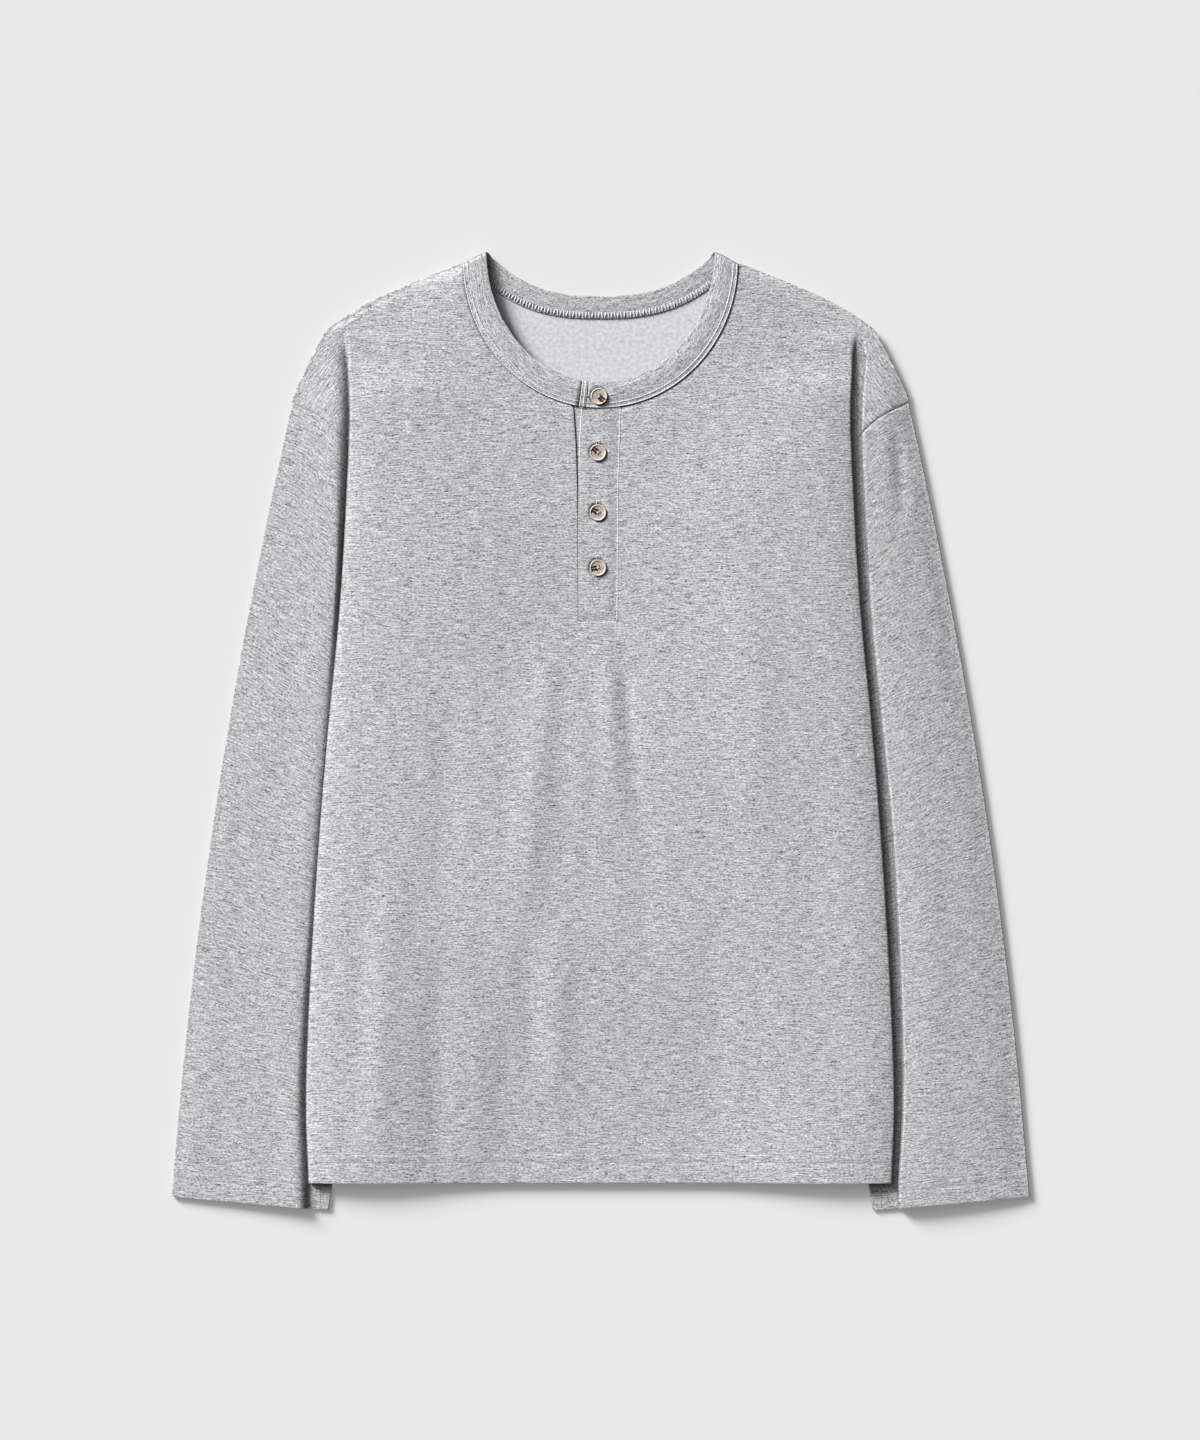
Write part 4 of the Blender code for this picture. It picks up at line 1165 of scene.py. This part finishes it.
def sew(name, slot, marks, size, drop, thread, sunk=STITCH_SUNK):
    """Copies one stitch to each (place, direction) mark on a surface, all in one mesh."""
    deselect()
    bpy.ops.mesh.primitive_uv_sphere_add(segments=STITCH_SIDES, ring_count=STITCH_RINGS, radius=0.5)
    middle = (0.0, 0.0, 0.0)
    turn = partial(bpy.ops.transform.rotate, value=math.pi / 2, orient_axis="Y", center_override=middle)
    edit_all(turn, partial(bpy.ops.transform.resize, value=size, center_override=middle))
    row = bpy.context.object
    one = [v.co.copy() for v in row.data.vertices]
    sides = [tuple(face.vertices) for face in row.data.polygons]
    points, faces = [], []
    for place, direction in marks:
        spot, facing = drop(place.x, place.y)
        if spot is None or facing.z < LEAST_FACING:
            continue
        way = direction.to_3d()
        way = (way - facing * way.dot(facing)).normalized()
        across = facing.cross(way)
        centre = spot + facing * size[2] * (0.5 - sunk)
        start = len(points)
        points += [centre + way * p.x + across * p.y + facing * p.z for p in one]
        faces += [tuple(start + k for k in side) for side in sides]
    row.data = bpy.data.meshes.new(name)
    row.data.from_pydata([tuple(p) for p in points], [], faces)
    row.name = name
    row.data.shade_smooth()
    row.data.materials.append(thread)
    place_piece(row, slot)


def sew_hems(thread):
    """Twin-needle rows along the hem and both cuffs."""
    half = SIDE_SEAM_HEM_X + HEM_OVERHANG
    rows = [[Vector((x, HEM_Y + row)) for x in spread(-half, half, HEM_STOPS)] for row in NEEDLE_ROWS]
    marks = marks_along(HEM_PITCH, *rows)
    sew("hem_stitches", "front_panel", marks, HEM_STITCH, surface_under("front"), thread)
    for name, sign in (("sleeve_left", -1), ("sleeve_right", 1)):
        rows = []
        for row in CUFF_NEEDLE_ROWS:
            line = [sleeve_point(1 - row / SLEEVE_LENGTH, u) for u in spread(*CUFF_ROW)]
            rows.append(mirrored([p for p in line if p.x > CUFF_SHOWN_X or p.y < HEM_Y], sign))
        seam = [Vector((sign * CUFF_SEAM_X, y)) for y in CUFF_SEAM_YS]
        marks = marks_along(HEM_PITCH, *rows) + marks_along(CUFF_SEAM_PITCH, seam)
        sew(f"{name}_stitches", name, marks, HEM_STITCH, surface_under(name), thread)


def sew_neckband(thread):
    """Rows beside the neck seam in front, the folded end at the placket, and loops along the back seam."""
    drop = surface_under("neckband")
    rows = []
    for share in BAND_NEEDLES:
        for end_x, sign in BAND_ROW_ENDS:
            angles = spread(math.acos(end_x / BAND_REACH), BAND_LAST_ANGLE, BAND_STOPS)
            rows.append(mirrored([front_band_place(a, share) for a in angles], sign))
    for x in END_ROW_XS:
        rows.append([front_band_place(math.acos(x / BAND_REACH), share) for share in spread(*END_ROW)])
    sew("neckband_topstitch", "neckband", marks_along(BAND_PITCH, *rows), BAND_STITCH, drop, thread)
    line = [back_band_place(share, LOOP_SHARE) for share in spread(*LOOP_ROW)]
    marks = marks_along(LOOP_PITCH, mirrored(line, -1), mirrored(line, 1))
    marks = [(place, way) for place, way in marks if drop(place.x, place.y)[0].z < LOFT]
    slants = (90 - LOOP_SLANT, 90 + LOOP_SLANT)
    slanted = [(place, turned(way, slants[k % 2])) for k, (place, way) in enumerate(marks)]
    sew("back_seam_loops", "neckband", slanted, LOOP_STITCH, drop, thread)


def sew_placket(thread):
    """Rows down both edges of the placket and across its bottom, and the buttonholes' edges."""
    slot = "placket_over"
    drop = surface_under(slot, "front")
    left = [Vector((along(PLACKET_EDGE, y) + LEFT_INSET, y)) for y in spread(*PLACKET_ROW)]
    right = [Vector((along(SLOT_RIGHT, y) - RIGHT_INSET, y)) for y in spread(*PLACKET_ROW)]
    sew("placket_stitches", slot, marks_along(BAND_PITCH, left, right), BAND_STITCH, drop, thread)
    across = [Vector((x, PLACKET_BOTTOM_Y - PLACKET_END_DROP)) for x in spread(*PLACKET_END_ROW)]
    sew("placket_end_stitches", slot, marks_along(HEM_PITCH, across), HEM_STITCH, drop, thread)
    marks, slit_shades = [], []
    upwards = Vector((0.0, 1.0))
    for x, y, _ in BUTTONS[1:]:
        y += BUTTONHOLE_RISE
        slit_shades.append((Vector((x, y + BUTTONHOLE_HALF - SLIT_INSET)), upwards))
        lengthways = [y + d for d in spread(-BUTTONHOLE_HALF, BUTTONHOLE_HALF, BUTTONHOLE_STOPS)]
        for side in (-1, 1):
            line = [Vector((x + side * BUTTONHOLE_SIDE, along_y)) for along_y in lengthways]
            marks += [(place, turned(way, 90)) for place, way in marks_along(SATIN_PITCH, line)]
        for end in (-1, 1):
            bar = y + end * (BUTTONHOLE_HALF + BAR_GAP)
            marks += [(Vector((x + d, bar)), upwards) for d in spread(*BAR_ROW)]
    sew("buttonhole_stitches", slot, marks, SATIN_STITCH, drop, thread)
    # dark marks of painted shade at the buttonholes' open ends
    sew("buttonhole_slit_shades", slot, slit_shades, SLIT, drop, painted_slit_shade("painted_slit_shade"))


def sew_buttons(thread):
    """The threads that cross each button between its holes."""
    marks, tops = [], []
    for number, place in enumerate(BUTTONS, 1):
        holes = button_holes(place)
        top = button_base(number, place) + BUTTON_PROFILE[0][1]
        for first, second in ((0, 2), (1, 3)):
            middle = Vector(place[:2]) + (holes[first] + holes[second]) / 2
            marks.append((middle, (holes[second] - holes[first]).normalized()))
            tops.append(top + THREAD_STEP * first)
    tops_left = iter(tops)

    def drop(x, y):
        return Vector((x, y, next(tops_left))), UP

    sew("button_threads", "button_1", marks, BUTTON_THREAD, drop, thread, THREAD_SUNK)


# ---- Materials ----

# Painted shade: the cloth's colour darkens on steep faces, such as turned-down edges and gutter walls, by how
# far they face away from up
TURN_LEVEL, TURN_STEEP = 0.97, 0.60  # the cloth darkens from the first to the second share of facing up
PAINTED_TURN_SHADE = 0.60  # by this share at most
# painted shade: the sleeves' copy of the jersey is darker by this share, for the less light that reaches them
SLEEVE_SHADE_TONE = 0.95
JERSEY_ROUGH, JERSEY_SHINE = 0.95, 0.1
FUZZ = {"Sheen_Weight": 0.05, "Sheen_Roughness": 0.5}
KNIT_BUMP = {"Strength": 0.3, "Distance": 0.0003}
FLECK_BEND, STREAK_BEND = 0.8, 0.5  # how far the noise is distorted
WANDER, WANDER_SCALE = 0.008, (1 / 0.045, 1 / 0.060)  # how far the courses wander, and how often
CLOUD_CONTRAST, CLOUD_SCALE = 0.03, (12.0, 24.0)
INSIDE_SCALE = (1 / 0.0030, 1 / 0.0028)
INSIDE_TONES = ((0.25, 0.83), (0.75, 1.13))  # places on the ramp and shares of the colour
THREAD_SCALE, THREAD_ROUGH, THREAD_SHINE = 1800.0, 0.7, 0.5
THREAD_STOPS, THREAD_BLUE = (0.2, 0.8), 1.02
SLIT_SHADE_COLOUR = (0.05, 0.05, 0.055, 1.0)
HORN = ((0.30, (0.40, 0.325, 0.285)), (0.50, (0.53, 0.45, 0.40)), (0.70, (0.66, 0.60, 0.54)))
HORN_SCALE, HORN_ROUGH, HORN_SHINE = 300.0, 0.35, 0.4
RAGGED = 0.0030
STREAK_AWAY, STREAK_HALF = 0.0011, 0.00095  # the streak is split in two along its middle
STREAK_FROM, STREAK_TO = 0.0003, 0.0054
# beyond the second radius the button's edge is painted dark, as painted shade for the thin shadow round it
RIM_FROM, OUTLINE_SHADE_FROM = 0.0050, 0.0061
RIM_SHARE = 0.75  # how much of its own colour the rim shows
RIM_COLOUR, STREAK_COLOUR, OUTLINE_SHADE_COLOUR = (0.74, 0.69, 0.62), (0.050, 0.022, 0.017), (0.13, 0.09, 0.07)


class Nodes:
    """A short way to add nodes and links to a new material."""

    def __init__(self, name):
        self.material = bpy.data.materials.new(name)
        self.material.use_nodes = True
        self.tree = self.material.node_tree

    def feed(self, node, inputs):
        """Sets each of these inputs to a constant, or links an output to it."""
        for key, value in inputs.items():
            if isinstance(value, bpy.types.NodeSocket):
                self.tree.links.new(value, node.inputs[key])
            else:
                node.inputs[key].default_value = value

    def add(self, kind, inputs=None, **settings):
        node = self.tree.nodes.new(kind)
        for key, value in settings.items():
            setattr(node, key, value)
        self.feed(node, inputs or {})
        return node

    def surface(self, colour, roughness, shine, **others):
        """The finished material. Its other inputs are given by name, with _ for a space."""
        inputs = {key.replace("_", " "): value for key, value in others.items()}
        inputs |= {"Base Color": colour, "Roughness": roughness, "Specular IOR Level": shine}
        self.feed(self.tree.nodes["Principled BSDF"], inputs)
        return self.material

    def cloth(self):
        """The cut cloth's own coordinates, in metres."""
        return self.add("ShaderNodeUVMap", uv_map="cloth").outputs["UV"]

    def scaled(self, vector, scale):
        return self.add("ShaderNodeMapping", {"Vector": vector, "Scale": (*scale, 1.0)}).outputs["Vector"]

    def waved_cloth(self, across, lengthways):
        """The cloth's coordinates with the courses wandering gently up and down, counted in these lengths."""
        wander = self.noise(self.scaled(self.cloth(), WANDER_SCALE))
        lift = self.add("ShaderNodeCombineXYZ", {"Y": self.math("MULTIPLY", wander, WANDER)})
        both = {0: self.cloth(), 1: lift.outputs["Vector"]}
        moved = self.add("ShaderNodeVectorMath", both, operation="ADD")
        return self.scaled(moved.outputs["Vector"], (1 / across, 1 / lengthways))

    def noise(self, vector, detail=0.0, scale=1.0, distortion=0.0):
        inputs = {"Vector": vector, "Detail": detail, "Scale": scale, "Distortion": distortion}
        return self.add("ShaderNodeTexNoise", inputs).outputs["Fac"]

    def math(self, operation, *values):
        return self.add("ShaderNodeMath", dict(enumerate(values)), operation=operation).outputs["Value"]

    def mixed(self, colour, other, share):
        """This colour turned into the other, a constant, by a share from 0 to 1."""
        inputs = {"Fac": share, "Color1": colour, "Color2": (*other, 1.0)}
        return self.add("ShaderNodeMixRGB", inputs).outputs["Color"]

    def painted_turn_shade(self, colour):
        """This colour with painted shade: darker where the cloth turns down at a fold or an edge and faces
        away from up.
        """
        facing = self.add("ShaderNodeNewGeometry").outputs["Normal"]
        level = self.add("ShaderNodeSeparateXYZ", {"Vector": facing}).outputs["Z"]
        reach = TURN_LEVEL - TURN_STEEP
        turned = self.math("MULTIPLY_ADD", level, -PAINTED_TURN_SHADE / reach, PAINTED_TURN_SHADE * TURN_LEVEL / reach)
        shade = self.math("MINIMUM", self.math("MAXIMUM", turned, 0.0), PAINTED_TURN_SHADE)
        return self.mixed(colour, (0.0, 0.0, 0.0), shade)

    def ramp(self, value, stops):
        """A colour ramp of (position, colour) stops."""
        node = self.add("ShaderNodeValToRGB", {"Fac": value})
        elements = node.color_ramp.elements
        while len(elements) < len(stops):
            elements.new(0.5)
        for element, (position, colour) in zip(elements, stops):
            element.position = position
            element.color = (*colour, 1.0)
        return node.outputs["Color"]


def tinted(colour, tone):
    return tuple(tone * part for part in colour)


def marl_jersey(name, tone=1.0):
    """The shirt's right side: grey marl in short streaks along the courses. A lower tone paints it darker,
    which the sleeves' copy uses as painted shade.
    """
    jersey = bpy.context.scene.henley_jersey
    made = Nodes(name)
    flecks = made.noise(made.waved_cloth(jersey.fibre_length, jersey.fibre_height), distortion=FLECK_BEND)
    streaks = made.waved_cloth(jersey.streak_length, jersey.streak_height)
    streaks = made.noise(streaks, 1.0, distortion=STREAK_BEND)
    clouds = made.noise(made.scaled(made.cloth(), CLOUD_SCALE), 1.0)
    total = made.math("MULTIPLY_ADD", flecks, jersey.fibre_contrast, 0.5 - 0.5 * jersey.fibre_contrast)
    for part, contrast in ((streaks, jersey.streak_contrast), (clouds, CLOUD_CONTRAST)):
        total = made.math("ADD", total, made.math("MULTIPLY_ADD", part, contrast, -0.5 * contrast))
    stops = [(0.0, tinted(jersey.dark_fibre, tone)), (1.0, tinted(jersey.light_fibre, tone))]
    # painted shade darkens the colour where the cloth faces away from up
    colour = made.painted_turn_shade(made.ramp(total, stops))
    normal = made.add("ShaderNodeBump", {"Height": flecks, **KNIT_BUMP}).outputs["Normal"]
    return made.surface(colour, JERSEY_ROUGH, JERSEY_SHINE, Normal=normal, **FUZZ)


def jersey_inside(name):
    """The cloth's wrong side: paler and smoother."""
    inside = bpy.context.scene.henley_jersey.inside
    made = Nodes(name)
    total = made.noise(made.scaled(made.cloth(), INSIDE_SCALE), 1.0)
    colour = made.ramp(total, [(position, tinted(inside, tone)) for position, tone in INSIDE_TONES])
    return made.surface(colour, JERSEY_ROUGH, JERSEY_SHINE)


def sewing_thread(name, dark, light):
    """Grey thread, finely twisted."""
    made = Nodes(name)
    twist = made.noise(made.add("ShaderNodeTexCoord").outputs["Object"], scale=THREAD_SCALE)
    stops = [(at, (grey, grey, THREAD_BLUE * grey)) for at, grey in zip(THREAD_STOPS, (dark, light))]
    return made.surface(made.ramp(twist, stops), THREAD_ROUGH, THREAD_SHINE)


def painted_slit_shade(name):
    """Painted shade inside a buttonhole: a flat near-black colour."""
    return Nodes(name).surface(SLIT_SHADE_COLOUR, 1.0, 0.0)


def button_resin(name, place, streak_turn):
    """Beige horn-like resin, mottled, with a brown streak from its middle to its rim and a dark outer edge of
    painted shade.
    """
    made = Nodes(name)
    kinds = ("ADD", "MULTIPLY", "ABSOLUTE", "GREATER_THAN", "LESS_THAN")
    add, times, size_of, above, below = (partial(made.math, kind) for kind in kinds)
    where = {"Location": (place[0], place[1], 0.0), "Rotation": (0.0, 0.0, math.radians(streak_turn))}
    where["Vector"] = made.add("ShaderNodeTexCoord").outputs["Object"]
    centred = made.add("ShaderNodeMapping", where, vector_type="TEXTURE").outputs["Vector"]
    parts = made.add("ShaderNodeSeparateXYZ", {"Vector": centred}).outputs
    x, y = parts["X"], parts["Y"]
    mottle = made.noise(centred, 2.0, HORN_SCALE)
    ragged = add(y, made.math("MULTIPLY_ADD", mottle, RAGGED, -RAGGED / 2))
    split = size_of(made.math("SUBTRACT", size_of(ragged), STREAK_AWAY))
    streak = times(below(split, STREAK_HALF), times(above(x, STREAK_FROM), below(x, STREAK_TO)))
    radius = made.math("SQRT", add(times(x, x), times(y, y)))
    colour = made.mixed(made.ramp(mottle, HORN), RIM_COLOUR, times(above(radius, RIM_FROM), RIM_SHARE))
    colour = made.mixed(colour, STREAK_COLOUR, streak)
    # painted shade: the outermost ring turns dark
    colour = made.mixed(colour, OUTLINE_SHADE_COLOUR, above(radius, OUTLINE_SHADE_FROM))
    return made.surface(colour, HORN_ROUGH, HORN_SHINE)


# ---- Properties, operators and panel ----

Colour = partial(FloatVectorProperty, subtype="COLOR", size=3)
Length = partial(FloatProperty, unit="LENGTH")
Factor = partial(FloatProperty, subtype="FACTOR")
WHITE = (1.0, 1.0, 1.0, 1.0)
FLOOR_SIZE = 8.0
LIGHT_SIDE = Vector((-0.72, 0.69)).normalized()
KEY_RISE, KEY_WIDTH = 21.5, 20  # degrees
FILL_RISE, FILL_WIDTH = 32, 50
CAMERA_X, CAMERA_Y = -0.0004, 0.0086
LENS, SENSOR_WIDTH, CLIP_END = 100.0, 36.0, 20.0
THREAD_GREYS, HEM_THREAD_GREYS = (0.62, 0.88), (0.26, 0.52)


class HenleyJersey(bpy.types.PropertyGroup):
    """The cloth's colours and the size of its streaks."""

    dark_fibre: Colour(name="Dark fibre", description="Its darkest yarn", default=(0.085, 0.085, 0.088))
    light_fibre: Colour(name="Light fibre", description="Its palest yarn", default=(0.905, 0.905, 0.930))
    inside: Colour(name="Inside", description="The wrong side", default=(0.67, 0.663, 0.70))
    fibre_length: Length(name="Fibre length", description="Of the finest flecks", default=0.0017)
    fibre_height: Length(name="Fibre height", description="Of the finest flecks", default=0.0008)
    fibre_contrast: Factor(name="Fibre contrast", description="Of the finest flecks", default=1.1)
    streak_length: Length(name="Streak length", description="Along a course", default=0.0100)
    streak_height: Length(name="Streak height", description="Across the courses", default=0.0009)
    streak_contrast: Factor(name="Streak contrast", description="Of the long streaks", default=1.05)


class HenleyStage(bpy.types.PropertyGroup):
    """The floor, the lights and the camera."""

    floor_grey: FloatProperty(name="Floor", description="The floor's grey", default=0.60, min=0.0, max=1.0)
    floor_light: FloatProperty(name="Floor light", description="The floor's faint light", default=0.20, min=0)
    key: FloatProperty(name="Key", description="Strength of the low light", default=6.30)
    fill: FloatProperty(name="Fill", description="Strength of the broad light", default=1.28)
    sky: FloatProperty(name="Sky", description="Strength of the light from all round", default=0.075)
    camera_height: Length(name="Camera height", description="Above the floor", default=3.005)


class HENLEY_OT_stage(bpy.types.Operator):
    """Lays the floor and sets the lights and the camera"""

    bl_idname = "henley.stage"
    bl_label = "Stage"

    def execute(self, context):
        stage = context.scene.henley_stage
        deselect()
        bpy.ops.mesh.primitive_plane_add(size=FLOOR_SIZE, location=(0.0, 0.0, 0.0))
        floor = context.object
        floor.name = "floor"
        grey = (stage.floor_grey, stage.floor_grey, stage.floor_grey, 1.0)
        glow = {"Emission_Color": WHITE, "Emission_Strength": stage.floor_light}
        paint(floor, Nodes("pale_floor").surface(grey, 1.0, 0.0, **glow))
        self.add_sun("key", stage.key, KEY_RISE, KEY_WIDTH)
        self.add_sun("fill", stage.fill, FILL_RISE, FILL_WIDTH)
        world = bpy.data.worlds.new("studio")
        context.scene.world = world
        world.use_nodes = True
        sky = world.node_tree.nodes["Background"]
        sky.inputs["Color"].default_value = WHITE
        sky.inputs["Strength"].default_value = stage.sky
        place = (CAMERA_X, CAMERA_Y, stage.camera_height)
        bpy.ops.object.camera_add(location=place, rotation=(0.0, 0.0, 0.0))
        camera = context.object
        camera.data.lens = LENS
        camera.data.sensor_width = SENSOR_WIDTH
        camera.data.clip_end = CLIP_END
        context.scene.camera = camera
        context.scene.view_settings.view_transform = "Standard"
        return {"FINISHED"}

    def add_sun(self, name, strength, elevation, width):
        """A sun this high and this wide, in degrees."""
        rise = math.radians(elevation)
        flat = LIGHT_SIDE * math.cos(rise)
        direction = Vector((flat.x, flat.y, math.sin(rise)))
        turn = direction.to_track_quat("Z", "Y").to_euler()
        bpy.ops.object.light_add(type="SUN", location=direction * 2, rotation=turn)
        sun = bpy.context.object
        sun.name = name
        sun.data.energy = strength
        sun.data.angle = math.radians(width)


class HENLEY_OT_cloth(bpy.types.Operator):
    """Makes the body, the sleeves, the neckband and the placket"""

    bl_idname = "henley.cloth"
    bl_label = "Cloth"

    def execute(self, context):
        outside = marl_jersey("marl_jersey")
        inside = jersey_inside("jersey_inside")
        make_back(outside, inside)
        make_front(outside, inside)
        # the same jersey with painted shade, darker for the sleeves
        sleeve_outside_shaded = marl_jersey("sleeve_jersey_shaded", SLEEVE_SHADE_TONE)
        make_sleeve("sleeve_left", -1, sleeve_outside_shaded, inside)
        make_sleeve("sleeve_right", 1, sleeve_outside_shaded, inside)
        make_neckband(outside)
        make_plackets(outside)
        return {"FINISHED"}


class HENLEY_OT_buttons(bpy.types.Operator):
    """Turns the four buttons"""

    bl_idname = "henley.buttons"
    bl_label = "Buttons"

    def execute(self, context):
        for number, (place, streak_turn) in enumerate(zip(BUTTONS, STREAK_TURNS), 1):
            make_button(number, place, button_resin(f"button_resin_{number}", place, streak_turn))
        return {"FINISHED"}


class HENLEY_OT_threads(bpy.types.Operator):
    """Sews the hems, the neckband, the placket and the buttons"""

    bl_idname = "henley.threads"
    bl_label = "Threads"

    def execute(self, context):
        thread = sewing_thread("sewing_thread", *THREAD_GREYS)
        sew_hems(sewing_thread("hem_thread", *HEM_THREAD_GREYS))
        sew_neckband(thread)
        sew_placket(thread)
        sew_buttons(thread)
        return {"FINISHED"}


class HENLEY_PT_panel(bpy.types.Panel):
    """Lists the steps that dress the shirt"""

    bl_idname = "HENLEY_PT_panel"
    bl_label = "Henley Shirt"
    bl_space_type = "VIEW_3D"
    bl_region_type = "UI"
    bl_category = "Henley"

    def draw(self, context):
        for step in STEPS:
            self.layout.operator(step.bl_idname)


STEPS = (HENLEY_OT_stage, HENLEY_OT_cloth, HENLEY_OT_buttons, HENLEY_OT_threads)
CLASSES = (HenleyJersey, HenleyStage, *STEPS, HENLEY_PT_panel)


def register():
    for kind in CLASSES:
        bpy.utils.register_class(kind)
    bpy.types.Scene.henley_jersey = PointerProperty(type=HenleyJersey)
    bpy.types.Scene.henley_stage = PointerProperty(type=HenleyStage)


def unregister():
    del bpy.types.Scene.henley_stage
    del bpy.types.Scene.henley_jersey
    for kind in reversed(CLASSES):
        bpy.utils.unregister_class(kind)


def main():
    register()
    bpy.ops.henley.stage()
    bpy.ops.henley.cloth()
    bpy.ops.henley.buttons()
    bpy.ops.henley.threads()


if __name__ == "__main__":
    main()
